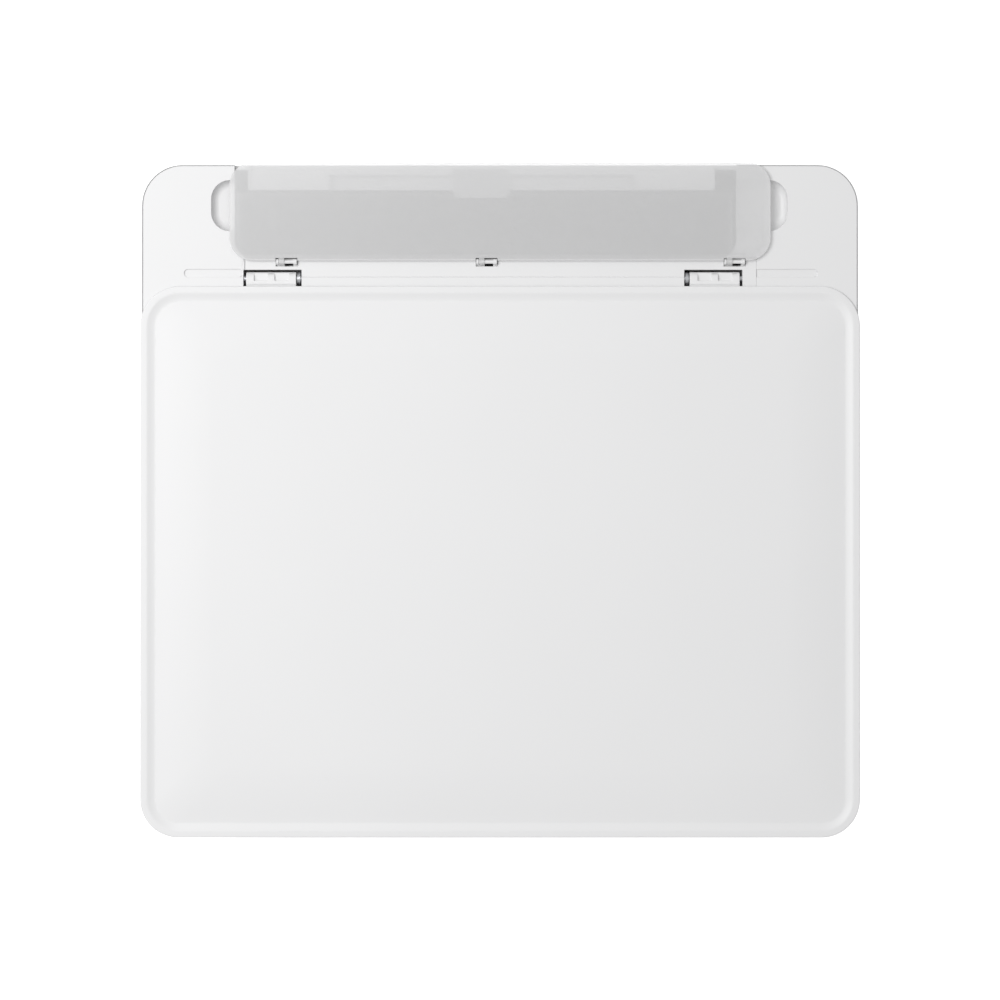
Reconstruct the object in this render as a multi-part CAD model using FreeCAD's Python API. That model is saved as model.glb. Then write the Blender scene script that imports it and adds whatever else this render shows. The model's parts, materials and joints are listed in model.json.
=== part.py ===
import FreeCAD, Part
import math
import os

# Home all-in-one inkjet printer: flatbed scanner and document lid on top, rear paper tray under a
# clear flap, paper cassette, output tray and tilting panel at the front.
# Millimetres. X to the right, Y to the rear, Z up. Origin: centre of the outer box, on the table.

# ---------------------------------------------------------------- overall sizes
WIDTH = 376.0            # document lid, side to side
DEPTH = 352.6            # lid's front edge to the tray flap's rear edge
HEIGHT = 170.0           # table to the top of the tray flap
SIDE_STEP = 0.8          # how far the lid stands out past the case
REAR_STEP = 1.1          # how far the tray flap stands out past the rear deck
WALL = 2.5               # moulded casing wall
CASE_R = 20.0            # casing corner radius, in plan
CASE_REAR_R = 21.4       # rear corners of the case, in plan
LID_REAR_R = 21.0        # lid's rear corners, in plan
SEAM = 0.2               # shadow line between fixed casing pieces
SNUG = 0.05                      # a seam that should not show
BODY_GAP = 0.6           # gap between casings that move apart
SHEET = 1.6              # folded steel sheet
RUN = 0.05               # radial running clearance of a pin or shaft
SLIDE = 0.4              # clearance of a sliding piece, each side

Y_FRONT = -DEPTH / 2
Y_REAR = DEPTH / 2
CASE_W = WIDTH - 2 * SIDE_STEP
CASE_X = CASE_W / 2
CASE_FRONT = Y_FRONT + SIDE_STEP
CASE_REAR = Y_REAR - REAR_STEP

# ---------------------------------------------------------------- heights
FOOT_H = 3.0
FLOOR_T = 3.0
BASE_H = 9.0             # height of the base tray's rim
CASE_TOP = HEIGHT - 52.0
SCAN_BOTTOM = CASE_TOP + BODY_GAP
SCAN_TOP = HEIGHT - 17.4
SCAN_SPLIT = SCAN_TOP - 6.4
LID_BOTTOM = SCAN_TOP + BODY_GAP
LID_RIM = HEIGHT - 1.4
LID_GROOVE = LID_RIM - 1.1
LID_CROWN = LID_RIM + 0.5
LID_BACK_TOP = SCAN_TOP + 6.4
DECK_BOTTOM = CASE_TOP + SEAM
DECK_TOP = HEIGHT - 2.5
STRIP_TOP = DECK_TOP - 0.2
STRIP_T = 2.2
FLAP_T = 2.0
BASE_TOP = FOOT_H + BASE_H
FLOOR_TOP = FOOT_H + FLOOR_T

# ---------------------------------------------------------------- rear hinge, shared by lid and scanner
HINGE_Y = Y_REAR - 60.5
HINGE_Z = HEIGHT - 5.0
LID_TO_HINGE = 4.1       # lid's rear edge to the hinge axis
LID_REAR = HINGE_Y - LID_TO_HINGE
LID_LAP = 2.0            # how far the lid's thin rear edge laps over the deck
LAP_T = 0.9              # thickness of that edge
NOSE_GAP = 0.8           # deck's front edge to the lid's wall below the lap
NOSE_LOW = HINGE_Z - 1.5
HINGE_PIN_R = 1.5
BARREL_R = 3.4           # lid hinge barrel
BLOCK_W = 26.1           # lid hinge block, along X
LEFT_BLOCK_X = -132.6    # outer face of the left block
RIGHT_BLOCK_X = 125.2    # outer face of the right block
OUTER_PLAY = 1.5         # gap outside each block
ARM_SPACE = 2.8          # gap inside each block, with the steel arm in it
ARM_T = 1.6
NOTCH_REAR = HINGE_Y + 4.5
NOTCH_FLOOR = SCAN_TOP - 15.0
NOTCH_WALL = 2.6
ARM_LOW = NOTCH_FLOOR + 1.2
ARM_R = 3.2

# ---------------------------------------------------------------- rear tray
PATH_X = -9.7            # centre of the paper path
CHUTE_LEFT = -138.7
CHUTE_RIGHT = 123.5
CHUTE_FRONT = Y_REAR - 50.1
CHUTE_R = 10.0
FLAP_LEFT = -141.2
FLAP_RIGHT = 141.2
FLAP_FRONT = Y_REAR - 51.4
FLAP_R = 12.0
FLAP_PIN_R = 1.0
FLAP_BARREL_R = 1.8
FLAP_AXIS_Y = FLAP_FRONT - 0.5
FLAP_AXIS_Z = HEIGHT - 1.9
CLIP_X = (-111.3, -6.8, 122.7)
CLIP_HALF = 5.8
CLIP_POSTS = ((-5.6, -4.4), (3.4, 5.2))  # X limits from the clip's middle
CLIP_KNUCKLE = (-4.2, -1.4)
CLIP_HOLE = (-1.2, 3.2)
POST_R = 1.5
LEAN = math.radians(25.0)        # paper plane, from the vertical
PLANE_Y = Y_REAR - 15.3          # paper plane at the top of the chute
PLANE_Z = HEIGHT - 4.0
PLANE_LOW_Z = 92.0               # lower end of the chute
MOUTH_LOW = 136.0                # lower end of the chute's front wall
CHUTE_T = 2.0
RACK_T = 2.4
SUPPORT_T = 2.8
SUPPORT_LEN = 78.0
TAB_HALF = 15.5          # pull tab in the middle of the paper support
PANE_REACH = 79.5        # the lowered panes beside it, from the path's middle
PANE_REAR = Y_REAR - 6.7
PANE_DEPTH = 1.9
SUPPORT_HALF = 122.0
PAPER_W = 215.9                  # widest sheet
GUIDE_T = 3.0
GUIDE_REACH = 14.0
GUIDE_TOP = 14.0
GUIDE_LOW = 34.0
GUIDE_TRAVEL = 57.0
SLOT_TOP = 22.0                  # guide slot, down the paper plane
SLOT_LOW = 27.0
RACK_MID = (SLOT_TOP + SLOT_LOW) / 2
RACK_BAR = 1.6
PINION_R = 4.0                   # pitch radius of the guides' pinion
PINION_COUNT = 10
RECESS_DEPTH = 4.5
RECESS_R = 9.9
RECESS_FLOOR_R = 4.0
RECESS_FRONT = Y_REAR - 35.9
RECESS_REAR = Y_REAR - 9.2
LEFT_RECESS = -150.9             # outer end of each recess
RIGHT_RECESS = 150.3
GROOVE_IN = 0.4                  # shadow groove round the deck: in from its edge
GROOVE_W = 0.35
GROOVE_DEPTH = 1.2

# ---------------------------------------------------------------- scanner
GLASS_WIN_X = 300.0
GLASS_WIN_Y = 217.0
GLASS_Y = -36.0                  # centre of the scanner window
GLASS_LAP = 6.0
GLASS_T = 2.6
HEAD_TRAVEL = 297.0
HEAD_HALF = 8.0
ROD_R = 2.5
ROD_Y = GLASS_Y - 2.0
ROD_Z = SCAN_BOTTOM + 7.9
SCAN_PULLEY_R = 5.0
SCAN_BELT_Y = ROD_Y + 28.0
SCAN_PULLEY_X = CASE_X - 14.0
BELT_GAP = 0.3
BELT_T = 1.2

# ---------------------------------------------------------------- front bay
BAY_HALF = 124.3                 # front bay's half width, about the paper path
CASSETTE_W = 240.0
CASSETTE_L = 300.0
CASSETTE_Z = FLOOR_TOP + 0.5
CASSETTE_H = 37.0
CASSETTE_WALL = 2.5
BAR_H = 2.4
OUT_Z = CASSETTE_Z + CASSETTE_H + 0.5 + BAR_H
OUT_HALF = 112.0
PANEL_H = 38.0
PANEL_TOP = CASE_TOP - 2.0
PANEL_T = 8.0
PANEL_BOTTOM = PANEL_TOP - PANEL_H
OUT_TOP = PANEL_BOTTOM - BAR_H
BAY_LEFT = PATH_X - BAY_HALF
BAY_RIGHT = PATH_X + BAY_HALF
PANEL_AXIS_Y = CASE_FRONT + PANEL_T / 2
PANEL_AXIS_Z = PANEL_TOP - PANEL_T / 2
BUTTON_R = 5.0
BUTTON_Z = PANEL_BOTTOM + PANEL_H * 0.47
DISPLAY_W = 62.0
DISPLAY_H = 30.0
BUTTON_X = {"power_button": PATH_X - 95.0, "stop_button": PATH_X + 62.0, "start_button": PATH_X + 92.0}
TRAY_T = 3.0
TRAY_L = 128.0

# ---------------------------------------------------------------- print engine
SIDE_X = CASE_X - 9.2            # inner face of the chassis side plates
CHASSIS_REAR = 88.0
FEED_Y = 55.0
FEED_Z = 57.0
FEED_R = 5.0
SHAFT_R = 3.0
EXIT_R = 4.2
GEAR_TEETH = 24
PINION_TEETH = 12
GEAR_R = 11.75                   # pitch radius of the feed gears
GEAR_X = -SIDE_X + 0.4
GEAR_W = 3.0
IDLER_Y = FEED_Y - 2 * GEAR_R
EXIT_Y = FEED_Y - 4 * GEAR_R
MOTOR_PINION_R = GEAR_R * PINION_TEETH / GEAR_TEETH
MOTOR_Y = FEED_Y + GEAR_R + MOTOR_PINION_R
PLATEN_TOP = FEED_Z + FEED_R
CARRIAGE_HALF = 46.0
CARRIAGE_FRONT = 6.0
CARRIAGE_REAR = 58.0
CARRIAGE_LOW = PLATEN_TOP + 6.0
CARRIAGE_TOP = 112.0
HEAD_LOW = PLATEN_TOP + 3.2
PARK_X = SIDE_X - CARRIAGE_HALF - 4.0
RAIL_LIP_Y = 60.0
RAIL_Z = 108.0
RAIL_LIP_LOW = 100.0
BELT_PULLEY_R = 5.0
BELT_PULLEY_X = SIDE_X - 14.0
BELT_Y = 64.8
BELT_W = 6.4
BELT_Z = 84.0
REAR_ROLLER_T = 70.0             # rear feed roller, down the paper plane
REAR_ROLLER_R = 9.0
MOTOR_R = 12.0

# ---------------------------------------------------------------- electrics
INLET_X = (-172.0, -148.0)
INLET_Z = (14.0, 30.0)
USB_X = (130.0, 142.5)
USB_Z = (20.0, 32.0)


# ---------------------------------------------------------------- helpers
def vec(x, y, z):
    return FreeCAD.Vector(x, y, z)


def box(x0, x1, y0, y1, z0, z1):
    return Part.makeBox(x1 - x0, y1 - y0, z1 - z0, vec(x0, y0, z0))


def cyl_x(x0, x1, y, z, r):
    return Part.makeCylinder(r, x1 - x0, vec(x0, y, z), vec(1, 0, 0))


def cyl_y(y0, y1, x, z, r):
    return Part.makeCylinder(r, y1 - y0, vec(x, y0, z), vec(0, 1, 0))


def cyl_z(z0, z1, x, y, r):
    return Part.makeCylinder(r, z1 - z0, vec(x, y, z0), vec(0, 0, 1))


def plate_wire(x0, x1, y0, y1, z, r_front, r_rear):
    """Closed outline of a rectangle with round front and rear corners."""
    k = math.sqrt(0.5)
    edges = []
    corners = [(x1, y0, 1, -1, r_front), (x1, y1, 1, 1, r_rear),
               (x0, y1, -1, 1, r_rear), (x0, y0, -1, -1, r_front)]
    ends = []
    for i, (cx, cy, sx, sy, r) in enumerate(corners):
        on_y_side = vec(cx - sx * r, cy, z)
        on_x_side = vec(cx, cy - sy * r, z)
        middle = vec(cx - sx * r * (1 - k), cy - sy * r * (1 - k), z)
        first, last = (on_y_side, on_x_side) if i % 2 == 0 else (on_x_side, on_y_side)
        ends.append((first, last))
        edges.append(Part.Arc(first, middle, last).toShape())
    for i in range(4):
        edges.append(Part.LineSegment(ends[i][1], ends[(i + 1) % 4][0]).toShape())
    return Part.Wire(Part.__sortEdges__(edges))


def plate(x0, x1, y0, y1, z0, z1, r_front, r_rear):
    face = Part.Face(plate_wire(x0, x1, y0, y1, z0, r_front, r_rear))
    return face.extrude(vec(0, 0, z1 - z0))


def prism_x(points, x0, x1):
    """Closed (y, z) outline pushed along X."""
    loop = [vec(x0, y, z) for y, z in points]
    return Part.Face(Part.makePolygon(loop + loop[:1])).extrude(vec(x1 - x0, 0, 0))


def prism_y(points, y0, y1):
    """Closed (x, z) outline pushed along Y."""
    loop = [vec(x, y0, z) for x, z in points]
    return Part.Face(Part.makePolygon(loop + loop[:1])).extrude(vec(0, y1 - y0, 0))


def fuse(*shapes):
    return shapes[0].fuse(list(shapes[1:])).removeSplitter()


def save(name, shape):
    """Checks a sub-part and writes it to its own file."""
    if not shape.isValid() or not shape.Solids:
        raise ValueError("bad solid in " + name)
    shape.exportStep("parts/" + name + ".step")
    print(name, len(shape.Solids), round(shape.Volume / 1000.0, 1))


def top_edges(shape, z, test):
    """Edges that lie flat at height z and whose middle passes the test."""
    found = []
    for edge in shape.Edges:
        level = all(abs(v.Point.z - z) < 1e-6 for v in edge.Vertexes)
        middle = edge.valueAt((edge.FirstParameter + edge.LastParameter) / 2)
        if level and test(middle):
            found.append(edge)
    return found


def on_plane(t, n):
    """(y, z) of a point t down the paper plane and n in front of it."""
    y = PLANE_Y - t * math.sin(LEAN) - n * math.cos(LEAN)
    z = PLANE_Z - t * math.cos(LEAN) + n * math.sin(LEAN)
    return y, z


def plane_slab(x0, x1, t0, t1, n0, n1):
    """Block that lies on the paper plane."""
    return prism_x([on_plane(t0, n0), on_plane(t1, n0), on_plane(t1, n1), on_plane(t0, n1)], x0, x1)


def gear(x0, width, y, z, pitch_r, teeth, turn, bore):
    """Spur gear along X, with tapered teeth; turn puts the first tooth at that angle from +Y."""
    module = 2 * pitch_r / teeth
    tip, root = pitch_r + 0.8 * module, pitch_r - 1.1 * module
    pitch = 2 * math.pi / teeth
    points = []
    for i in range(teeth):
        middle = turn + i * pitch
        for radius, side in ((root, -0.27), (tip, -0.12), (tip, 0.12), (root, 0.27)):
            angle = middle + side * pitch
            points.append((y + radius * math.cos(angle), z + radius * math.sin(angle)))
    return prism_x(points, x0, x0 + width).cut(cyl_x(x0 - 1, x0 + width + 1, y, z, bore))


def belt_loop_x(x0, x1, y, z, width, r):
    """Belt round two pulleys whose axes run along Y."""
    def stadium(radius):
        ends = fuse(cyl_y(y, y + width, x0, z, radius), cyl_y(y, y + width, x1, z, radius),
                    box(x0, x1, y, y + width, z - radius, z + radius))
        return ends
    return stadium(r + BELT_GAP + BELT_T).cut(stadium(r + BELT_GAP))


# ---------------------------------------------------------------- fixed case
def case_slab(z0, z1, inset=0.0):
    return plate(-CASE_X + inset, CASE_X - inset, CASE_FRONT + inset, CASE_REAR - inset, z0, z1,
                 CASE_R - inset, CASE_REAR_R - inset)


def screw_spots():
    x = CASE_X - WALL - 3.4
    return [(sx * x, y) for sx in (-1, 1) for y in (CASE_FRONT + 40, EXIT_Y - 16, CASE_REAR - 40)]


def make_base():
    base = case_slab(FOOT_H, BASE_TOP).cut(case_slab(FLOOR_TOP, BASE_TOP + 1, WALL))
    base = base.cut(box(BAY_LEFT - WALL - SEAM, BAY_RIGHT + WALL + SEAM, CASE_FRONT - 1,
                        CASE_FRONT + WALL + 1, FLOOR_TOP, BASE_TOP + 1))
    for x, y in screw_spots():
        base = base.cut(cyl_z(FOOT_H - 1, FOOT_H + 1.5, x, y, 3.0))
        base = base.cut(cyl_z(FOOT_H, FLOOR_TOP + 1, x, y, 1.6))
    save("base_tray", base)


def make_feet_and_screws():
    feet = [cyl_z(0, FOOT_H, sx * (CASE_X - 28), y, 8.0)
            for sx in (-1, 1) for y in (CASE_FRONT + 24, CASE_REAR - 26)]
    save("rubber_feet", Part.makeCompound(feet))
    screws = [fuse(cyl_z(FOOT_H + 0.1, FOOT_H + 1.5, x, y, 2.8),
                   cyl_z(FOOT_H + 1.5, FLOOR_TOP + 10, x, y, 1.5)) for x, y in screw_spots()]
    save("case_screws", Part.makeCompound(screws))


def make_side_covers():
    ring = case_slab(BASE_TOP + SEAM, CASE_TOP).cut(case_slab(BASE_TOP, CASE_TOP + 1, WALL))
    low, high = FLOOR_TOP + SEAM, CASE_TOP + 1
    edges = {"left": (-CASE_X - 1, BAY_LEFT - WALL - SEAM), "right": (BAY_RIGHT + WALL + SEAM, CASE_X + 1)}
    for side, (x0, x1) in edges.items():
        cover = ring.common(box(x0, x1, CASE_FRONT - 1, CASE_REAR + 1, low, high))
        for x, y in screw_spots():
            if x0 < x < x1:
                boss = cyl_z(low, FLOOR_TOP + 14, x, y, 3.3).cut(cyl_z(low - 1, FLOOR_TOP + 10, x, y, 1.5))
                wall_side = math.copysign(1, x)
                rib = box(min(x, wall_side * (CASE_X - 1)), max(x, wall_side * (CASE_X - 1)),
                          y - 1, y + 1, BASE_TOP + SEAM, FLOOR_TOP + 14)
                cover = cover.fuse([boss, rib.cut(cyl_z(low - 1, FLOOR_TOP + 10, x, y, 1.5))])
        if side == "left":
            cover = cover.cut(box(*INLET_X, CASE_REAR - WALL - 1, CASE_REAR + 1, *INLET_Z))
        else:
            cover = cover.cut(box(*USB_X, CASE_REAR - WALL - 1, CASE_REAR + 1, *USB_Z))
        save(side + "_side_cover", cover.removeSplitter())


def make_rear_cover():
    x0, x1 = BAY_LEFT - WALL, BAY_RIGHT + WALL
    skin = box(x0, x1, CASE_REAR - WALL, CASE_REAR, BASE_TOP + SEAM, CASE_TOP)
    half, low, high = (x1 - x0) / 2 - 22, BASE_TOP + 10, CASE_TOP - 42
    groove = box(PATH_X - half, PATH_X + half, CASE_REAR - 0.8, CASE_REAR + 1, low, high)
    inner = box(PATH_X - half + 1, PATH_X + half - 1, CASE_REAR - 2, CASE_REAR + 2, low + 1, high - 1)
    skin = skin.cut(groove.cut(inner))
    ribs = [box(PATH_X + share * half, PATH_X + share * half + 1.5, CASE_REAR - WALL - 6,
                CASE_REAR - WALL, low + 2, high - 2) for share in (-0.76, -0.38, 0, 0.38, 0.76)]
    save("rear_cover", fuse(skin, *ribs))


def make_front_frame():
    x0, x1 = BAY_LEFT - WALL, BAY_RIGHT + WALL
    depth = 22.0
    frame = box(x0, x1, CASE_FRONT, CASE_FRONT + depth, FLOOR_TOP + SEAM, CASE_TOP)
    frame = frame.cut(box(BAY_LEFT, BAY_RIGHT, CASE_FRONT - 1, CASE_FRONT + depth + 1,
                          FLOOR_TOP, OUT_Z - BAR_H))
    frame = frame.cut(box(PATH_X - OUT_HALF, PATH_X + OUT_HALF, CASE_FRONT - 1, CASE_FRONT + depth + 1,
                          OUT_Z, OUT_TOP))
    frame = frame.cut(box(BAY_LEFT, BAY_RIGHT, CASE_FRONT - 1, CASE_FRONT + PANEL_T + 14.5,
                          PANEL_BOTTOM - 0.5, PANEL_TOP + 0.5))
    for side in (-1, 1):
        x_in = PATH_X + side * BAY_HALF
        hole = cyl_x(min(x_in - 2, x_in + 2), max(x_in - 2, x_in + 2),
                     PANEL_AXIS_Y, PANEL_AXIS_Z, HINGE_PIN_R + RUN)
        frame = frame.cut(hole)
    save("front_frame", frame)


# ---------------------------------------------------------------- rear deck
def lid_zone(gap, lap, z0, z1):
    """Space round the lid, its rear wall moved forward by lap."""
    return plate(-WIDTH / 2 - gap, WIDTH / 2 + gap, Y_FRONT - 40, LID_REAR - lap + gap, z0, z1,
                 CASE_R, LID_REAR_R + gap)


def notch_edges():
    """X limits of the left and right hinge notches."""
    left = (LEFT_BLOCK_X - OUTER_PLAY, LEFT_BLOCK_X + BLOCK_W + ARM_SPACE)
    right = (RIGHT_BLOCK_X - BLOCK_W - ARM_SPACE, RIGHT_BLOCK_X + OUTER_PLAY)
    return left, right


def scoop(x_outer, x_inner):
    """Finger recess beside the rear tray: a pan with a rounded floor, open towards the tray."""
    reach = x_inner + math.copysign(2 * RECESS_R, x_inner - x_outer)
    floor = DECK_TOP - RECESS_DEPTH
    pan = plate(min(x_outer, reach), max(x_outer, reach), RECESS_FRONT, RECESS_REAR, floor, HEIGHT,
                RECESS_R, RECESS_R)
    return pan.makeFillet(RECESS_FLOOR_R, top_edges(pan, floor, lambda p: True))


def clip_slots(z0, z1):
    return [box(x - CLIP_HALF, x + CLIP_HALF, FLAP_AXIS_Y - 2.4, FLAP_AXIS_Y + 4.6, z0, z1) for x in CLIP_X]


def clip_holes(z1):
    """Drain hole beside each flap knuckle, down through the strip and its ledge."""
    return [box(x + CLIP_HOLE[0], x + CLIP_HOLE[1], FLAP_AXIS_Y - 2.2, CHUTE_FRONT - 0.6,
                STRIP_TOP - STRIP_T - WALL - 1, z1) for x in CLIP_X]


def make_rear_deck():
    front = LID_REAR - 40

    def deck_plate(inset, z0, z1):
        return plate(-CASE_X + inset, CASE_X - inset, front, CASE_REAR - inset, z0, z1, 0.5,
                     CASE_REAR_R - inset)
    deck = deck_plate(0, DECK_BOTTOM, DECK_TOP)
    groove = deck_plate(GROOVE_IN, DECK_TOP - GROOVE_DEPTH, HEIGHT)
    deck = deck.cut(groove.cut(deck_plate(GROOVE_IN + GROOVE_W, DECK_BOTTOM, HEIGHT + 1)))
    deck = deck.cut([lid_zone(0.5, 0, DECK_BOTTOM - 1, NOSE_LOW), lid_zone(NOSE_GAP, LID_LAP, NOSE_LOW, HEIGHT)])
    cavity = plate(-CASE_X + WALL, CASE_X - WALL, HINGE_Y - 1.1, CASE_REAR - WALL,
                   DECK_BOTTOM - 1, DECK_TOP - WALL, 0.5, CASE_REAR_R - WALL)
    deck = deck.cut(cavity)
    added = []
    for x0, x1 in notch_edges():
        added.append(box(x0 - NOTCH_WALL, x1 + NOTCH_WALL, HINGE_Y - 2, NOTCH_REAR + NOTCH_WALL,
                         NOTCH_FLOOR - NOTCH_WALL, DECK_TOP - WALL / 2))
    recesses = ((LEFT_RECESS, CHUTE_LEFT), (RIGHT_RECESS, CHUTE_RIGHT))
    for outer, inner in recesses:
        wall = 2.0 * math.copysign(1, inner - outer)
        added.append(box(min(outer - wall, inner), max(outer - wall, inner), RECESS_FRONT - 2,
                         RECESS_REAR + 2, DECK_TOP - RECESS_DEPTH - 2, DECK_TOP - WALL / 2))
    ledge_ends = strip_ends()
    added.append(box(ledge_ends[0] - 2, ledge_ends[1] + 2, HINGE_Y - 2, CHUTE_FRONT,
                     STRIP_TOP - STRIP_T - WALL, DECK_TOP - WALL / 2))
    deck = deck.fuse(added)
    deck = deck.cut(box(ledge_ends[0] - SEAM, ledge_ends[1] + SNUG, LID_REAR - LID_LAP - 1, CHUTE_FRONT + 1,
                        STRIP_TOP - STRIP_T, HEIGHT))
    deck = deck.cut(plate(CHUTE_LEFT, CHUTE_RIGHT, CHUTE_FRONT, CASE_REAR + 30, NOTCH_FLOOR,
                          HEIGHT, CHUTE_R, 1.0).cut(box(-CASE_X, CASE_X, CASE_REAR - WALL, CASE_REAR + 40,
                                                        DECK_BOTTOM, DECK_TOP - RECESS_DEPTH)))
    deck = deck.cut([scoop(outer, inner) for outer, inner in recesses])
    for x0, x1 in notch_edges():
        deck = deck.cut(box(x0, x1, LID_REAR - LID_LAP - 1, NOTCH_REAR, NOTCH_FLOOR, HEIGHT))
    for x0, x1 in pin_spans():
        deck = deck.cut(cyl_x(x0 - 0.2, x1 + 0.2, HINGE_Y, HINGE_Z, HINGE_PIN_R + RUN))
    left, right = notch_edges()
    troughs = [plate(-165.1, left[0], HINGE_Y + 0.6, HINGE_Y + 4.8, DECK_TOP - 0.8, HEIGHT, 2.0, 2.0),
               plate(right[1], 166.0, HINGE_Y + 0.6, HINGE_Y + 4.8, DECK_TOP - 0.8, HEIGHT, 2.0, 2.0)]
    deck = deck.cut(troughs + clip_slots(FLAP_AXIS_Z - 2.5, HEIGHT) + clip_holes(HEIGHT))
    save("rear_deck", deck.removeSplitter())


def strip_ends():
    left, right = notch_edges()
    return left[0] + 0.9, right[1] + 7.2


def pin_spans():
    """X limits of the two hinge pins; each runs into the notch walls."""
    return [(x0 - NOTCH_WALL + 0.3, x1 + NOTCH_WALL - 0.3) for x0, x1 in notch_edges()]


def make_hinge_strip():
    x0, x1 = strip_ends()
    y0 = LID_REAR - LID_LAP + NOSE_GAP
    strip = box(x0, x1, y0, CHUTE_FRONT - 0.1, STRIP_TOP - STRIP_T, STRIP_TOP)
    for n0, n1 in notch_edges():
        strip = strip.cut(box(n0, n1, y0 - 1, NOTCH_REAR, NOTCH_FLOOR, HEIGHT))
    for a, b in pin_spans():
        strip = strip.cut(cyl_x(a - 0.2, b + 0.2, HINGE_Y, HINGE_Z, HINGE_PIN_R + RUN))
    left, right = notch_edges()
    step = box(left[1], right[0], HINGE_Y + 0.5, HINGE_Y + 0.8, STRIP_TOP - 0.3, HEIGHT)
    strip = strip.cut(clip_slots(FLAP_AXIS_Z - 2.5, HEIGHT) + [step])
    for x in CLIP_X:
        for a, b in CLIP_POSTS:
            post = fuse(box(x + a, x + b, FLAP_AXIS_Y - POST_R, FLAP_AXIS_Y + POST_R,
                            STRIP_TOP - STRIP_T, FLAP_AXIS_Z),
                        cyl_x(x + a, x + b, FLAP_AXIS_Y, FLAP_AXIS_Z, POST_R))
            strip = strip.fuse(post)
        strip = strip.fuse(box(x - CLIP_HALF, x + CLIP_HALF, FLAP_AXIS_Y - 2.4, CHUTE_FRONT - 0.1,
                               STRIP_TOP - STRIP_T, FLAP_AXIS_Z - 2.5))
    strip = strip.cut(clip_holes(FLAP_AXIS_Z))
    for x in CLIP_X:
        strip = strip.fuse(cyl_x(x + CLIP_POSTS[0][0] + 0.5, x + CLIP_POSTS[1][1] - 0.5,
                                 FLAP_AXIS_Y, FLAP_AXIS_Z, FLAP_PIN_R))
    save("hinge_strip", strip.removeSplitter())


# ---------------------------------------------------------------- rear tray
def make_chute():
    t_low = (PLANE_Z - PLANE_LOW_Z) / math.cos(LEAN)
    x0, x1 = CHUTE_LEFT + 0.6, CHUTE_RIGHT - 1.6
    back = plane_slab(x0, x1, 4, t_low, -CHUTE_T, 0)
    for a, b in guide_slots():
        back = back.cut(plane_slab(a, b, SLOT_TOP, SLOT_LOW, -CHUTE_T - 1, 1))
    low_y = on_plane(t_low, 0)[0]
    top = STRIP_TOP - STRIP_T - WALL - 0.2
    mouth = CHUTE_FRONT + 0.4
    side = [on_plane(4, 0), on_plane(t_low, 0), (low_y - 16, PLANE_LOW_Z + 2), (mouth, MOUTH_LOW), (mouth, top)]
    walls = [prism_x(side, x0, x0 + CHUTE_T), prism_x(side, x1 - CHUTE_T, x1)]
    bore = cyl_x(x0 - 1, x1 + 1, *on_plane(REAR_ROLLER_T, REAR_ROLLER_R + 1.6), SHAFT_R + RUN)
    walls = [wall.cut(bore) for wall in walls]
    front = box(x0, x1, mouth, mouth + CHUTE_T, MOUTH_LOW - 6, top)
    stud = plane_post(PATH_X, RACK_MID, -CHUTE_T - SLIDE - RACK_T, -1.0, HINGE_PIN_R)
    ribs = [plane_slab(x - 1, x + 1, 30, t_low - 4, 0, 1.0) for x in
            (PATH_X - 45, PATH_X - 15, PATH_X + 15, PATH_X + 45)]
    save("paper_chute", fuse(back, front, stud, *walls, *ribs))


def guide_slots():
    near = PAPER_W / 2 - GUIDE_TRAVEL - 4
    far = PAPER_W / 2 + GUIDE_T + 4
    return (PATH_X - far, PATH_X - near), (PATH_X + near, PATH_X + far)


def plane_point(x, t, n):
    y, z = on_plane(t, n)
    return vec(x, y, z)


def plane_post(x, t, n0, n1, r):
    """Round post that stands on the paper plane."""
    toward = plane_point(0, 0, 1) - plane_point(0, 0, 0)
    return Part.makeCylinder(r, n1 - n0, plane_point(x, t, n0), toward)


def push_n(points, n0, n1):
    """Closed (x, t) outline on the paper plane, pushed from n0 to n1."""
    loop = [plane_point(x, t, n0) for x, t in points]
    toward = plane_point(0, 0, 1) - plane_point(0, 0, 0)
    return Part.Face(Part.makePolygon(loop + loop[:1])).extrude(toward * (n1 - n0))


def rack_teeth(side, x0, x1, n0, n1):
    """Row of rack teeth that reach towards the pinion; side -1 is above it, 1 below."""
    pitch = 2 * math.pi * PINION_R / PINION_COUNT
    module = 2 * PINION_R / PINION_COUNT
    root, tip = PINION_R + 1.1 * module, PINION_R - 0.8 * module
    teeth = []
    first = math.ceil((x0 - PATH_X) / pitch + 0.5)
    last = math.floor((x1 - PATH_X) / pitch - 0.5)
    for i in range(first, last):
        middle = PATH_X + (i + 0.5) * pitch
        outline = [(middle + s * pitch, RACK_MID + side * d) for s, d in
                   ((-0.24, root + 0.1), (-0.1, tip), (0.1, tip), (0.24, root + 0.1))]
        teeth.append(push_n(outline, n0, n1))
    return teeth


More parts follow.
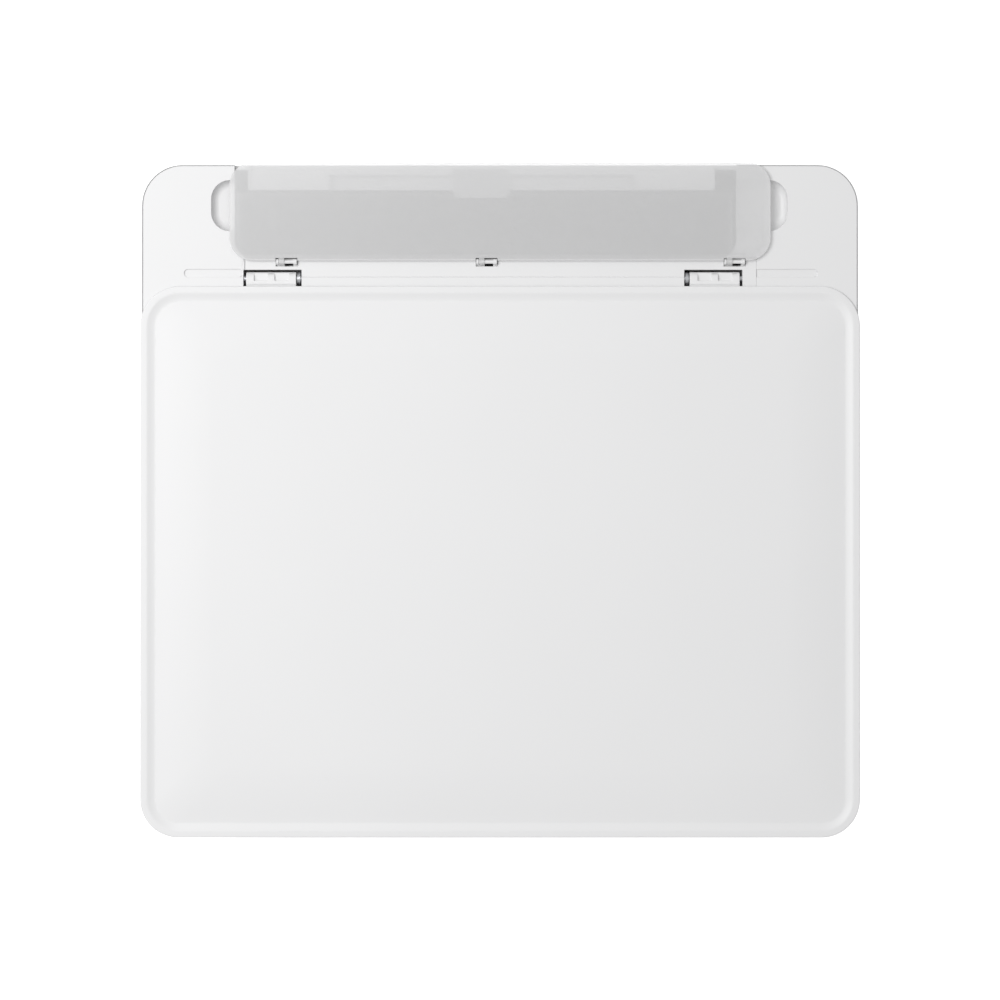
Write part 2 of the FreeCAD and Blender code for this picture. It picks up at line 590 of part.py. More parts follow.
def make_paper_guides():
    n1 = -CHUTE_T - SLIDE
    n0 = n1 - RACK_T
    module = 2 * PINION_R / PINION_COUNT
    for name, side in (("left_paper_guide", -1), ("right_paper_guide", 1)):
        inner = PATH_X + side * PAPER_W / 2
        outer = inner + side * GUIDE_T
        x0, x1 = min(inner, outer), max(inner, outer)
        blade = plane_slab(x0, x1, GUIDE_TOP, GUIDE_LOW, 1.4, GUIDE_REACH)
        foot = plane_slab(x0, x1, SLOT_TOP + SLIDE, SLOT_LOW - SLIDE, n1 - 1, 1.5)
        back = RACK_MID + side * (PINION_R + 1.1 * module)
        far = back + side * RACK_BAR
        t0, t1 = min(back, far), max(back, far)
        bar_x = (min(outer, PATH_X - side * 7), max(outer, PATH_X - side * 7))
        bar = plane_slab(bar_x[0], bar_x[1], t0, t1, n0, n1)
        neck = plane_slab(x0, x1, min(t0, SLOT_TOP + SLIDE), max(t1, SLOT_LOW - SLIDE), n0, n1)
        save(name, fuse(blade, foot, neck, bar, *rack_teeth(side, bar_x[0], bar_x[1], n0, n1)))
    tip, root = PINION_R + 0.8 * module, PINION_R - 1.1 * module
    pitch = 2 * math.pi / PINION_COUNT
    points = []
    for i in range(PINION_COUNT):
        middle = math.pi / 2 + i * pitch
        for radius, s in ((root, -0.27), (tip, -0.12), (tip, 0.12), (root, 0.27)):
            angle = middle + s * pitch
            points.append((PATH_X + radius * math.cos(angle), RACK_MID + radius * math.sin(angle)))
    pinion = push_n(points, n0, n1 - 0.1)
    save("guide_pinion", pinion.cut(plane_post(PATH_X, RACK_MID, n0 - 1, n1 + 1, HINGE_PIN_R + RUN)))


def make_paper_support():
    n0 = -CHUTE_T - SLIDE - RACK_T - 1.2 - SUPPORT_T
    n1 = n0 + SUPPORT_T
    x0, x1 = PATH_X - SUPPORT_HALF, PATH_X + SUPPORT_HALF
    panel = plane_slab(x0, x1, 0, SUPPORT_LEN, n0, n1)
    y_top, z_top = on_plane(0, n1)
    front = PLANE_Y + 0.9
    flange = plate(x0, x1, front, CASE_REAR - 0.4, z_top - 0.2, DECK_TOP - 0.4, 1.0, 3.0)
    neck = prism_x([on_plane(3, n0), on_plane(3, n1), (y_top, z_top), on_plane(0, n0)], x0, x1)
    support = fuse(panel, neck, flange)
    for side in (-1, 1):
        inner, outer = PATH_X + side * TAB_HALF, PATH_X + side * PANE_REACH
        pane = box(min(inner, outer), max(inner, outer), front - 1, PANE_REAR, DECK_TOP - PANE_DEPTH, HEIGHT)
        dimple = plate(PATH_X + side * 8 - 5, PATH_X + side * 8 + 5, front + 1.5, PANE_REAR, DECK_TOP - 1.6,
                       HEIGHT, 3.0, 3.0)
        support = support.cut([pane, dimple])
    save("paper_support", support)


def make_tray_flap():
    flap = plate(FLAP_LEFT, FLAP_RIGHT, FLAP_FRONT, Y_REAR, HEIGHT - FLAP_T, HEIGHT, FLAP_R, FLAP_R)
    hollow = plate(FLAP_LEFT + 4, FLAP_RIGHT - 4, FLAP_FRONT + 4, Y_REAR - 4, HEIGHT - FLAP_T - 1,
                   HEIGHT - FLAP_T + 0.5, FLAP_R - 4, FLAP_R - 4)
    flap = flap.cut(hollow)
    for x in CLIP_X:
        flap = flap.cut(box(x + CLIP_POSTS[0][0] - 0.3, x + CLIP_POSTS[1][1] + 0.3, FLAP_FRONT - 1,
                            FLAP_AXIS_Y + POST_R + 0.4, HEIGHT - 4, HEIGHT + 1))
        a, b = x + CLIP_KNUCKLE[0], x + CLIP_KNUCKLE[1]
        knuckle = fuse(cyl_x(a, b, FLAP_AXIS_Y, FLAP_AXIS_Z, FLAP_BARREL_R),
                       box(a, b, FLAP_AXIS_Y, FLAP_AXIS_Y + 3.4, FLAP_AXIS_Z + 0.3, HEIGHT - 0.1))
        flap = flap.fuse(knuckle.cut(cyl_x(a - 1, b + 1, FLAP_AXIS_Y, FLAP_AXIS_Z, FLAP_PIN_R + RUN)))
    save("tray_flap", flap.removeSplitter())


# ---------------------------------------------------------------- scanner unit
def scan_slab(z0, z1, inset=0.0):
    return plate(-CASE_X + inset, CASE_X - inset, CASE_FRONT + inset, LID_REAR - inset, z0, z1,
                 CASE_R - inset, LID_REAR_R - SIDE_STEP - inset)


def make_scanner_shells():
    base = scan_slab(SCAN_BOTTOM, SCAN_SPLIT).cut(scan_slab(SCAN_BOTTOM + WALL, SCAN_SPLIT + 1, WALL))
    base = base.makeFillet(1.0, top_edges(base, SCAN_BOTTOM, lambda p: True))
    for x in (-SCAN_PULLEY_X - 4, SCAN_PULLEY_X + 4):
        boss = box(x - 3, x + 3, ROD_Y - 5, ROD_Y + 5, SCAN_BOTTOM + 1, ROD_Z + 4)
        base = base.fuse(boss.cut(cyl_x(x - 4, x + 4, ROD_Y, ROD_Z, ROD_R)))
    base = base.fuse(cyl_z(SCAN_BOTTOM + 1, ROD_Z + 2.4, SCAN_PULLEY_X, SCAN_BELT_Y, HINGE_PIN_R))
    save("scanner_base", base.removeSplitter())
    frame = scan_slab(SCAN_SPLIT + SEAM, SCAN_TOP).cut(scan_slab(SCAN_SPLIT, SCAN_TOP - WALL, WALL))
    frame = frame.makeFillet(1.0, top_edges(frame, SCAN_TOP, lambda p: True))
    window = plate(-GLASS_WIN_X / 2, GLASS_WIN_X / 2, GLASS_Y - GLASS_WIN_Y / 2, GLASS_Y + GLASS_WIN_Y / 2,
                   SCAN_TOP - WALL - 1, SCAN_TOP + 1, 2.0, 2.0)
    frame = frame.cut(window)
    save("scanner_frame", frame)
    glass_x, glass_y = GLASS_WIN_X / 2 + GLASS_LAP, GLASS_WIN_Y / 2 + GLASS_LAP
    save("platen_glass", box(-glass_x, glass_x, GLASS_Y - glass_y, GLASS_Y + glass_y,
                             SCAN_TOP - WALL - GLASS_T, SCAN_TOP - WALL))


def make_scan_drive():
    save("scan_guide_rod", cyl_x(-SCAN_PULLEY_X - 7, SCAN_PULLEY_X + 7, ROD_Y, ROD_Z, ROD_R))
    low, high = ROD_Z - 2.4, ROD_Z + 2.0
    top = SCAN_TOP - WALL - GLASS_T - 0.8
    head_y0, head_y1 = GLASS_Y - GLASS_WIN_Y / 2 - 3, GLASS_Y + GLASS_WIN_Y / 2 + 3
    x = -HEAD_TRAVEL / 2
    bar = box(x - HEAD_HALF, x + HEAD_HALF, head_y0, head_y1, high + 2.6, top)
    trough = box(x - HEAD_HALF + 3, x + HEAD_HALF - 3, head_y0 + 4, head_y1 - 4, top - 2.5, top + 1)
    carrier = box(x - HEAD_HALF, x + HEAD_HALF + 12, ROD_Y - 8, ROD_Y + 9, ROD_Z - 4.5, high + 3)
    carrier = carrier.cut(cyl_x(x - 20, x + 30, ROD_Y, ROD_Z, ROD_R + RUN))
    run_y = SCAN_BELT_Y - SCAN_PULLEY_R - BELT_GAP - BELT_T
    clamp = box(x - 5, x + 8, ROD_Y + 8, run_y + BELT_T + 2.4, low - 1.6, high + 3)
    clamp = clamp.cut(box(x - 6, x + 9, run_y - 0.5, run_y + BELT_T + 0.5, low - 0.6, high + 0.9))
    save("scan_head", fuse(bar.cut(trough), carrier, clamp))
    ends = (-SCAN_PULLEY_X, SCAN_PULLEY_X)

    def stadium(r, z0, z1):
        return fuse(cyl_z(z0, z1, ends[0], SCAN_BELT_Y, r), cyl_z(z0, z1, ends[1], SCAN_BELT_Y, r),
                    box(ends[0], ends[1], SCAN_BELT_Y - r, SCAN_BELT_Y + r, z0, z1))
    outer = stadium(SCAN_PULLEY_R + BELT_GAP + BELT_T, low, high)
    save("scan_belt", outer.cut(stadium(SCAN_PULLEY_R + BELT_GAP, low - 1, high + 1)))
    drive = fuse(cyl_z(low, high, ends[0], SCAN_BELT_Y, SCAN_PULLEY_R),
                 cyl_z(high, high + 8, ends[0], SCAN_BELT_Y, 1.2))
    save("scan_drive_pulley", drive.cut(box(ends[0] - 9, ends[0] - SCAN_PULLEY_R + 0.5, SCAN_BELT_Y - 0.4,
                                            SCAN_BELT_Y + 0.4, low - 1, high + 1)))
    idler = cyl_z(low, high, ends[1], SCAN_BELT_Y, SCAN_PULLEY_R)
    idler = idler.cut(cyl_z(low - 1, high + 1, ends[1], SCAN_BELT_Y, HINGE_PIN_R + RUN))
    save("scan_idler_pulley", idler)
    motor = fuse(cyl_z(high + 0.6, high + 14.6, ends[0], SCAN_BELT_Y, 9.0),
                 box(ends[0] - 8, ends[0] + 8, SCAN_BELT_Y - 14, SCAN_BELT_Y + 14, high + 0.6, high + 2.2),
                 box(ends[0] - 3, ends[0] + 3, SCAN_BELT_Y + 10, SCAN_BELT_Y + 14,
                     SCAN_BOTTOM + WALL, high + 1))
    save("scan_motor", motor.cut(cyl_z(high, high + 8.6, ends[0], SCAN_BELT_Y, 1.2 + RUN)))


def make_hinge_arms():
    arms = []
    for i, (n0, n1) in enumerate(notch_edges()):
        middle = LEFT_BLOCK_X + BLOCK_W if i == 0 else RIGHT_BLOCK_X - BLOCK_W
        away = 1 if i == 0 else -1
        x0 = middle + away * (ARM_SPACE - ARM_T) / 2
        x1 = x0 + away * ARM_T
        a, b = min(x0, x1), max(x0, x1)
        web = fuse(box(a, b, LID_REAR, HINGE_Y + 2.2, ARM_LOW, HINGE_Z - 3),
                   box(a, b, HINGE_Y - ARM_R, HINGE_Y + 2.2, HINGE_Z - 6, HINGE_Z),
                   cyl_x(a, b, HINGE_Y, HINGE_Z, ARM_R))
        web = web.cut(cyl_x(a - 1, b + 1, HINGE_Y, HINGE_Z, HINGE_PIN_R))
        web = web.cut(box(a - 1, b + 1, LID_REAR - 1, HINGE_Y - ARM_R, SCAN_TOP, HINGE_Z))
        f0, f1 = (n0 + 4, b) if i == 0 else (a, n1 - 4)
        flange = box(f0, f1, LID_REAR, LID_REAR + SHEET, ARM_LOW, SCAN_SPLIT + 3.4)
        arms.append(fuse(web, flange))
    pins = [cyl_x(x0, x1, HINGE_Y, HINGE_Z, HINGE_PIN_R) for x0, x1 in pin_spans()]
    save("scanner_hinge_arms", Part.makeCompound([fuse(arm, pin) for arm, pin in zip(arms, pins)]))


# ---------------------------------------------------------------- document lid
def lid_slab(z0, z1, inset=0.0, lap=0.0):
    return plate(-WIDTH / 2 + inset, WIDTH / 2 - inset, Y_FRONT + inset, LID_REAR - lap - inset, z0, z1,
                 CASE_R - min(inset, CASE_R - 2), LID_REAR_R - min(inset, LID_REAR_R - 2))


def make_lid():
    shell = lid_slab(LID_BOTTOM, LID_RIM - LAP_T, 0, LID_LAP).fuse(lid_slab(LID_RIM - LAP_T, LID_RIM))
    shell = shell.removeSplitter()
    shell = shell.makeFillet(0.6, top_edges(shell, LID_RIM, lambda p: True))
    shell = shell.makeFillet(0.8, top_edges(shell, LID_BOTTOM, lambda p: True))
    shell = shell.cut(lid_slab(LID_GROOVE, LID_RIM + 1, 5.5))

    def outline(inset, z):
        return plate_wire(-WIDTH / 2 + inset, WIDTH / 2 - inset, Y_FRONT + inset, LID_REAR - inset, z,
                          CASE_R - 6, LID_REAR_R - 6)
    rise = LID_CROWN - LID_GROOVE
    steps = [(8.5, LID_GROOVE), (14.0, LID_GROOVE + 0.45 * rise), (20.0, LID_GROOVE + 0.8 * rise),
             (28.0, LID_CROWN)]
    shell = shell.fuse([Part.makeLoft([outline(a, za), outline(b, zb)], True, True)
                        for (a, za), (b, zb) in zip(steps, steps[1:])])
    shell = shell.cut(lid_slab(LID_BOTTOM - 1, LID_GROOVE - WALL, WALL, LID_LAP))
    for x in (-WIDTH / 4, 0, WIDTH / 4):
        rib = box(x - 0.8, x + 0.8, Y_FRONT + 3 * WALL, LID_REAR - 3 * WALL, LID_BACK_TOP, LID_GROOVE)
        shell = shell.fuse(rib)
    save("lid_shell", shell.removeSplitter())
    pad_x, pad_y = GLASS_WIN_X / 2 + 3, GLASS_WIN_Y / 2 + 3
    save("lid_backing", lid_slab(LID_BACK_TOP - 1.6, LID_BACK_TOP, WALL + 0.2, LID_LAP))
    save("document_pad", plate(-pad_x, pad_x, GLASS_Y - pad_y, GLASS_Y + pad_y,
                               SCAN_TOP + 0.3, LID_BACK_TOP - 1.6, 3.0, 3.0))


def make_lid_blocks():
    blocks = []
    for x0, sign in ((LEFT_BLOCK_X, 1), (RIGHT_BLOCK_X, -1)):
        a, b = min(x0, x0 + sign * BLOCK_W), max(x0, x0 + sign * BLOCK_W)
        block = fuse(cyl_x(a, b, HINGE_Y, HINGE_Z, BARREL_R),
                     box(a, b, LID_REAR, HINGE_Y, HINGE_Z - BARREL_R, HINGE_Z + BARREL_R),
                     box(a, b, LID_REAR - LID_LAP, LID_REAR, HINGE_Z - BARREL_R, LID_RIM - LAP_T))
        for lo, hi in ((0.16, 0.43), (0.57, 0.85)):
            block = block.cut(box(a + lo * BLOCK_W, a + hi * BLOCK_W, HINGE_Y - 1.3, HINGE_Y + 5,
                                  HINGE_Z + BARREL_R - 1.3, HEIGHT))
        block = block.cut(box(a - 1, b + 1, LID_REAR + 0.6, LID_REAR + 1.0, HINGE_Z + BARREL_R - 0.4, HEIGHT))
        blocks.append(block.cut(cyl_x(a - 1, b + 1, HINGE_Y, HINGE_Z, HINGE_PIN_R + RUN)))
    save("lid_hinge_blocks", Part.makeCompound(blocks))


# ---------------------------------------------------------------- print engine
def make_chassis():
    rear = box(-SIDE_X, SIDE_X, CHASSIS_REAR, CHASSIS_REAR + SHEET, FLOOR_TOP + 38, RAIL_Z + SHEET)
    rear = rear.cut(box(BAY_LEFT + 4, BAY_RIGHT - 4, CHASSIS_REAR - 1, CHASSIS_REAR + 3, FEED_Z - 6, FEED_Z + 20))
    rear = rear.cut(cyl_y(CHASSIS_REAR - 1, CHASSIS_REAR + 3, -BELT_PULLEY_X, BELT_Z, 3.0))
    parts = [rear]
    for side in (-1, 1):
        a, b = sorted((side * SIDE_X, side * (SIDE_X + SHEET)))
        wall = box(a, b, EXIT_Y - 8, CHASSIS_REAR + SHEET, FLOOR_TOP, RAIL_LIP_LOW)
        for y in (FEED_Y, EXIT_Y):
            wall = wall.cut(cyl_x(a - 1, b + 1, y, FEED_Z, SHAFT_R + RUN))
        parts.append(wall)
        c, d = sorted((side * SIDE_X, side * (SIDE_X - 12)))
        parts.append(box(c, d, EXIT_Y - 8, CHASSIS_REAR, FLOOR_TOP, FLOOR_TOP + SHEET))
    stub = cyl_x(-SIDE_X - SHEET / 2, GEAR_X + GEAR_W + 1, IDLER_Y, FEED_Z, SHAFT_R)
    pin = cyl_y(BELT_Y - 0.6, CHASSIS_REAR + 1, BELT_PULLEY_X, BELT_Z, HINGE_PIN_R)
    save("chassis_frame", fuse(*parts, stub, pin))
    rail = fuse(box(-SIDE_X + 1, SIDE_X - 1, RAIL_LIP_Y, CHASSIS_REAR, RAIL_Z, RAIL_Z + SHEET),
                box(-SIDE_X + 1, SIDE_X - 1, RAIL_LIP_Y, RAIL_LIP_Y + SHEET, RAIL_LIP_LOW, RAIL_Z + SHEET))
    save("carriage_rail", rail)


def make_platen():
    x0, x1 = PATH_X - PAPER_W / 2 - 2, PATH_X + PAPER_W / 2 + 2
    y0, y1 = EXIT_Y + EXIT_R + 2, FEED_Y - FEED_R - 2
    bed = box(x0, x1, y0, y1, PLATEN_TOP - 13, PLATEN_TOP - 1.2)
    bed = bed.cut(box(x0 + WALL, x1 - WALL, y0 + WALL, y1 - WALL, PLATEN_TOP - 14, PLATEN_TOP - 3.4))
    count = 14
    pitch = (x1 - x0 - 8) / (count - 1)
    ribs = [box(x0 + 3.5 + i * pitch, x0 + 4.5 + i * pitch, y0, y1, PLATEN_TOP - 1.4, PLATEN_TOP)
            for i in range(count)]
    ties = [box(BAY_LEFT - 24, x0 + 1, y0 + 4, y0 + 12, PLATEN_TOP - 12, PLATEN_TOP - 6),
            box(BAY_LEFT - 24, BAY_LEFT - 16, y0 + 4, y0 + 12, FLOOR_TOP, PLATEN_TOP - 6)]
    save("platen", fuse(bed, *ribs, *ties))


def make_rollers():
    shaft = fuse(cyl_x(-SIDE_X - SHEET, SIDE_X + SHEET, FEED_Y, FEED_Z, SHAFT_R),
                 cyl_x(-SIDE_X + 8, SIDE_X - 4, FEED_Y, FEED_Z, FEED_R))
    save("line_feed_roller", shaft)
    save("line_feed_gear", gear(GEAR_X, GEAR_W, FEED_Y, FEED_Z, GEAR_R, GEAR_TEETH, math.pi, SHAFT_R))
    half = math.pi / GEAR_TEETH
    save("idler_gear", gear(GEAR_X, GEAR_W, IDLER_Y, FEED_Z, GEAR_R, GEAR_TEETH, half, SHAFT_R + RUN))
    exit_gear = gear(GEAR_X, GEAR_W, EXIT_Y, FEED_Z, GEAR_R, GEAR_TEETH, 0.0, SHAFT_R / 2)
    exit_shaft = cyl_x(-SIDE_X - SHEET, SIDE_X + SHEET, EXIT_Y, FEED_Z, SHAFT_R)
    tyres = [cyl_x(PATH_X + x - 6, PATH_X + x + 6, EXIT_Y, FEED_Z, EXIT_R) for x in (-90, -54, -18, 18, 54, 90)]
    save("exit_roller", fuse(exit_shaft, exit_gear, *tyres))
    turn = math.pi / PINION_TEETH
    pinion = gear(GEAR_X, GEAR_W, MOTOR_Y, FEED_Z, MOTOR_PINION_R, PINION_TEETH, turn, 0.5)
    axle = cyl_x(GEAR_X, GEAR_X + GEAR_W + 10, MOTOR_Y, FEED_Z, 1.2)
    save("motor_pinion", fuse(pinion, axle))
    motor_x = GEAR_X + GEAR_W + 1.5
    motor = fuse(cyl_x(motor_x, motor_x + 22, MOTOR_Y, FEED_Z, MOTOR_R),
                 box(motor_x, motor_x + 2, MOTOR_Y - 8, CHASSIS_REAR, FEED_Z - 8, FEED_Z + 8))
    save("feed_motor", motor.cut(cyl_x(motor_x - 1, motor_x + 10, MOTOR_Y, FEED_Z, 1.2 + RUN)))
    y, z = on_plane(REAR_ROLLER_T, REAR_ROLLER_R + 1.6)
    axle = cyl_x(CHUTE_LEFT, CHUTE_RIGHT, y, z, SHAFT_R)
    tyres = [cyl_x(PATH_X + x - 8, PATH_X + x + 8, y, z, REAR_ROLLER_R) for x in (-40, 0, 40)]
    save("rear_feed_roller", fuse(axle, *tyres))


def make_carriage():
    x0, x1 = PARK_X - CARRIAGE_HALF, PARK_X + CARRIAGE_HALF
    body = box(x0, x1, CARRIAGE_FRONT, CARRIAGE_REAR, CARRIAGE_LOW, CARRIAGE_TOP)
    body = body.makeFillet(3.0, [e for e in body.Edges if abs(e.Vertexes[0].X - e.Vertexes[-1].X) > 1
                                 and e.Vertexes[0].Y < CARRIAGE_FRONT + 1 and e.Vertexes[0].Z > CARRIAGE_TOP - 1])
    well = box(x0 + 3, x1 - 3, CARRIAGE_FRONT + 4, CARRIAGE_REAR - 6, CARRIAGE_LOW + 4, CARRIAGE_TOP + 1)
    body = body.cut(well)
    body = body.fuse(box(PARK_X - 1.5, PARK_X + 1.5, CARRIAGE_FRONT + 3, CARRIAGE_REAR - 5,
                         CARRIAGE_LOW + 3, CARRIAGE_TOP - 6))
    body = body.cut(box(x0 + 8, x1 - 8, CARRIAGE_FRONT + 10, CARRIAGE_REAR - 12, CARRIAGE_LOW - 1, CARRIAGE_LOW + 5))
    hook = box(PARK_X - 30, PARK_X + 30, CARRIAGE_REAR - 1, RAIL_LIP_Y + SHEET + 3, RAIL_LIP_LOW - 14, RAIL_Z - 1.5)
    hook = hook.cut(box(PARK_X - 31, PARK_X + 31, RAIL_LIP_Y - SLIDE, RAIL_LIP_Y + SHEET + SLIDE,
                        RAIL_LIP_LOW - SLIDE, RAIL_Z))
    run = BELT_Z + BELT_PULLEY_R + BELT_GAP
    jaw = box(PARK_X - 8, PARK_X + 8, RAIL_LIP_Y, BELT_Y + BELT_W + 2, run - 2.5, run + BELT_T + 2.5)
    jaw = jaw.cut(box(PARK_X - 9, PARK_X + 9, BELT_Y - 0.5, BELT_Y + BELT_W + 0.5, run - 0.5, run + BELT_T + 0.5))
    save("carriage_body", fuse(body, hook, jaw))
    tanks = []
    for side in (-1, 1):
        a, b = sorted((PARK_X + side * 2.2, PARK_X + side * (CARRIAGE_HALF - 4)))
        tank = fuse(box(a, b, CARRIAGE_FRONT + 5, CARRIAGE_REAR - 7, CARRIAGE_LOW + 4, CARRIAGE_TOP - 3),
                    box(a + 8, b - 8, CARRIAGE_FRONT + 8, CARRIAGE_FRONT + 14, CARRIAGE_TOP - 4, CARRIAGE_TOP),
                    box(a + 7, b - 7, CARRIAGE_FRONT + 11, CARRIAGE_REAR - 13, HEAD_LOW, CARRIAGE_LOW + 5))
        tanks.append(tank)
    save("ink_cartridges", Part.makeCompound(tanks))


def make_carriage_drive():
    x = BELT_PULLEY_X
    save("carriage_belt", belt_loop_x(-x, x, BELT_Y, BELT_Z, BELT_W, BELT_PULLEY_R))
    drive = fuse(cyl_y(BELT_Y, BELT_Y + BELT_W, -x, BELT_Z, BELT_PULLEY_R),
                 cyl_y(BELT_Y, CHASSIS_REAR + SHEET + 10, -x, BELT_Z, 1.2))
    save("carriage_drive_pulley", drive.cut(box(-x - 0.4, -x + 0.4, BELT_Y - 1, BELT_Y + 1.5,
                                                BELT_Z, BELT_Z + BELT_PULLEY_R)))
    idler = cyl_y(BELT_Y, BELT_Y + BELT_W, x, BELT_Z, BELT_PULLEY_R)
    save("carriage_idler_pulley", idler.cut(cyl_y(BELT_Y - 1, BELT_Y + BELT_W + 1, x, BELT_Z, HINGE_PIN_R + RUN)))
    y0 = CHASSIS_REAR + SHEET
    motor = fuse(cyl_y(y0, y0 + 18, -x, BELT_Z, MOTOR_R), box(-x - 8, -x + 8, y0, y0 + 2, BELT_Z - 16, BELT_Z + 16))
    save("carriage_motor", motor.cut(cyl_y(y0 - 1, y0 + 10.6, -x, BELT_Z, 1.2 + RUN)))
    cap_y = (CARRIAGE_FRONT + CARRIAGE_REAR) / 2 - 1
    cap = box(PARK_X - 24, PARK_X + 24, cap_y - 14, cap_y + 14, HEAD_LOW - 8, HEAD_LOW - SLIDE)
    cap = cap.cut([box(PARK_X + a, PARK_X + b, cap_y - 11, cap_y + 11, HEAD_LOW - 4, HEAD_LOW)
                   for a, b in ((-21, -1.5), (1.5, 21))])
    save("purge_cap", cap)
    station = box(PARK_X - 27, PARK_X + 27, cap_y - 17, cap_y + 17, FLOOR_TOP + 36, HEAD_LOW - 6)
    station = station.cut(box(PARK_X - 24 - SLIDE, PARK_X + 24 + SLIDE, cap_y - 14 - SLIDE, cap_y + 14 + SLIDE,
                              HEAD_LOW - 8 - 6 - SLIDE, HEAD_LOW))
    tank = box(BAY_RIGHT + 6, SIDE_X - 14, EXIT_Y - 14, CHASSIS_REAR - 6, FLOOR_TOP, FLOOR_TOP + 36)
    save("purge_station", fuse(station, tank))


def make_inner_guide():
    """Half-round guide that turns cassette paper forwards."""
    x0, x1 = PATH_X - PAPER_W / 2 - 6, PATH_X + PAPER_W / 2 + 6
    y, z, r = Y_REAR - 46.0, FEED_Z - 2.0, 16.0
    drum = cyl_x(x0, x1, y, z, r).cut(cyl_x(x0 - 1, x1 + 1, y, z, r - WALL))
    half = drum.common(box(x0 - 1, x1 + 1, y, y + 2 * r, z - 2 * r, z + 2 * r))
    shelf = box(x0, x1, CHASSIS_REAR + SHEET + 2, y, z + r - WALL, z + r)
    cheek = [box(x, x + WALL, y, y + r - 1, z - r + 1, z + r - 1) for x in (x0, x1 - WALL)]
    save("inner_paper_guide", fuse(half, shelf, *cheek))


# ---------------------------------------------------------------- paper cassette, output tray, panel
def make_cassette():
    x0, x1 = PATH_X - CASSETTE_W / 2, PATH_X + CASSETTE_W / 2
    y0, y1 = CASE_FRONT, CASE_FRONT + CASSETTE_L
    z0, z1 = CASSETTE_Z, CASSETTE_Z + CASSETTE_H
    tray = box(x0, x1, y0 + 4, y1, z0, z1 - 9)
    tray = tray.cut(box(x0 + CASSETTE_WALL, x1 - CASSETTE_WALL, y0 + 8, y1 - CASSETTE_WALL,
                        z0 + CASSETTE_WALL, z1))
    face = box(BAY_LEFT + SLIDE, BAY_RIGHT - SLIDE, y0, y0 + 5, z0, z1)
    grip = box(PATH_X - 42, PATH_X + 42, y0 - 1, y0 + 3, z0 + 3, z0 + 13)
    slots = [box(x - 0.6, x + 0.6, y0 + 60, y1 - 30, z0 + CASSETTE_WALL - 0.8, z0 + CASSETTE_WALL + 1)
             for x in (PATH_X - 30, PATH_X + 30)]
    save("cassette_tray", fuse(tray, face).cut([grip] + slots))
    for name, side in (("cassette_left_guide", -1), ("cassette_right_guide", 1)):
        inner = PATH_X + side * (PAPER_W / 2 + 0.5)
        a, b = sorted((inner, inner + side * 2.5))
        c, d = sorted((inner, inner - side * 26))
        blade = box(a, b, y0 + 95, y0 + 165, z0 + CASSETTE_WALL + 0.3, z1 - 11)
        foot = box(c, d, y0 + 118, y0 + 142, z0 + CASSETTE_WALL + 0.3, z0 + CASSETTE_WALL + 1.5)
        save(name, fuse(blade, foot))


def make_output_tray():
    x0, x1 = PATH_X - OUT_HALF + 8, PATH_X + OUT_HALF - 8
    y0, y1 = CASE_FRONT + 2.5, CASE_FRONT + 2.5 + TRAY_L
    tray = box(x0, x1, y0, y1, OUT_Z + SLIDE, OUT_Z + SLIDE + TRAY_T)
    tray = tray.cut(box(x0 + 6, x1 - 6, y0 + 12, y1 - 6, OUT_Z + SLIDE + 1.6, OUT_Z + SLIDE + TRAY_T + 1))
    ribs = [box(PATH_X + x - 1, PATH_X + x + 1, y0 + 10, y1 - 5, OUT_Z + SLIDE + 1, OUT_Z + SLIDE + TRAY_T)
            for x in (-70, -35, 0, 35, 70)]
    lip = box(x0 + 50, x1 - 50, y0, y0 + 3, OUT_Z + SLIDE, OUT_Z + SLIDE + 8)
    save("output_tray", fuse(tray, lip, *ribs))


def make_panel():
    x0, x1 = BAY_LEFT + SLIDE, BAY_RIGHT - SLIDE
    y0, y1 = CASE_FRONT, CASE_FRONT + PANEL_T
    panel = fuse(box(x0, x1, y0, y1, PANEL_BOTTOM, PANEL_AXIS_Z),
                 cyl_x(x0, x1, PANEL_AXIS_Y, PANEL_AXIS_Z, PANEL_T / 2))
    panel = panel.cut(box(x0 + 3, x1 - 3, y0 + WALL, y1 - WALL, PANEL_BOTTOM + 3, PANEL_AXIS_Z - 4))
    panel = panel.cut(box(PATH_X - DISPLAY_W / 2, PATH_X + DISPLAY_W / 2, y0 - 1, y0 + 1.2,
                          BUTTON_Z - DISPLAY_H / 2, BUTTON_Z + DISPLAY_H / 2))
    for x in BUTTON_X.values():
        panel = panel.cut(cyl_y(y0 - 1, y0 + WALL + 0.5, x, BUTTON_Z, BUTTON_R + SLIDE / 2))
    for a, b in ((x0 - 1.8, x0 + 1), (x1 - 1, x1 + 1.8)):
        panel = panel.fuse(cyl_x(a, b, PANEL_AXIS_Y, PANEL_AXIS_Z, HINGE_PIN_R))
    save("control_panel", panel.removeSplitter())
    save("display_window", box(PATH_X - DISPLAY_W / 2, PATH_X + DISPLAY_W / 2, y0 + 0.2, y0 + 1.2,
                               BUTTON_Z - DISPLAY_H / 2, BUTTON_Z + DISPLAY_H / 2))
    for name, x in BUTTON_X.items():
        button = cyl_y(y0 + 0.1, y0 + WALL + 0.2, x, BUTTON_Z, BUTTON_R)
        button = button.makeFillet(0.5, [e for e in button.Edges if e.Vertexes[0].Y < y0 + 0.2
                                         and e.Vertexes[-1].Y < y0 + 0.2])
        flange = cyl_y(y0 + WALL + 0.2, y0 + WALL + 1.0, x, BUTTON_Z, BUTTON_R + 1.2)
        save(name, fuse(button, flange))


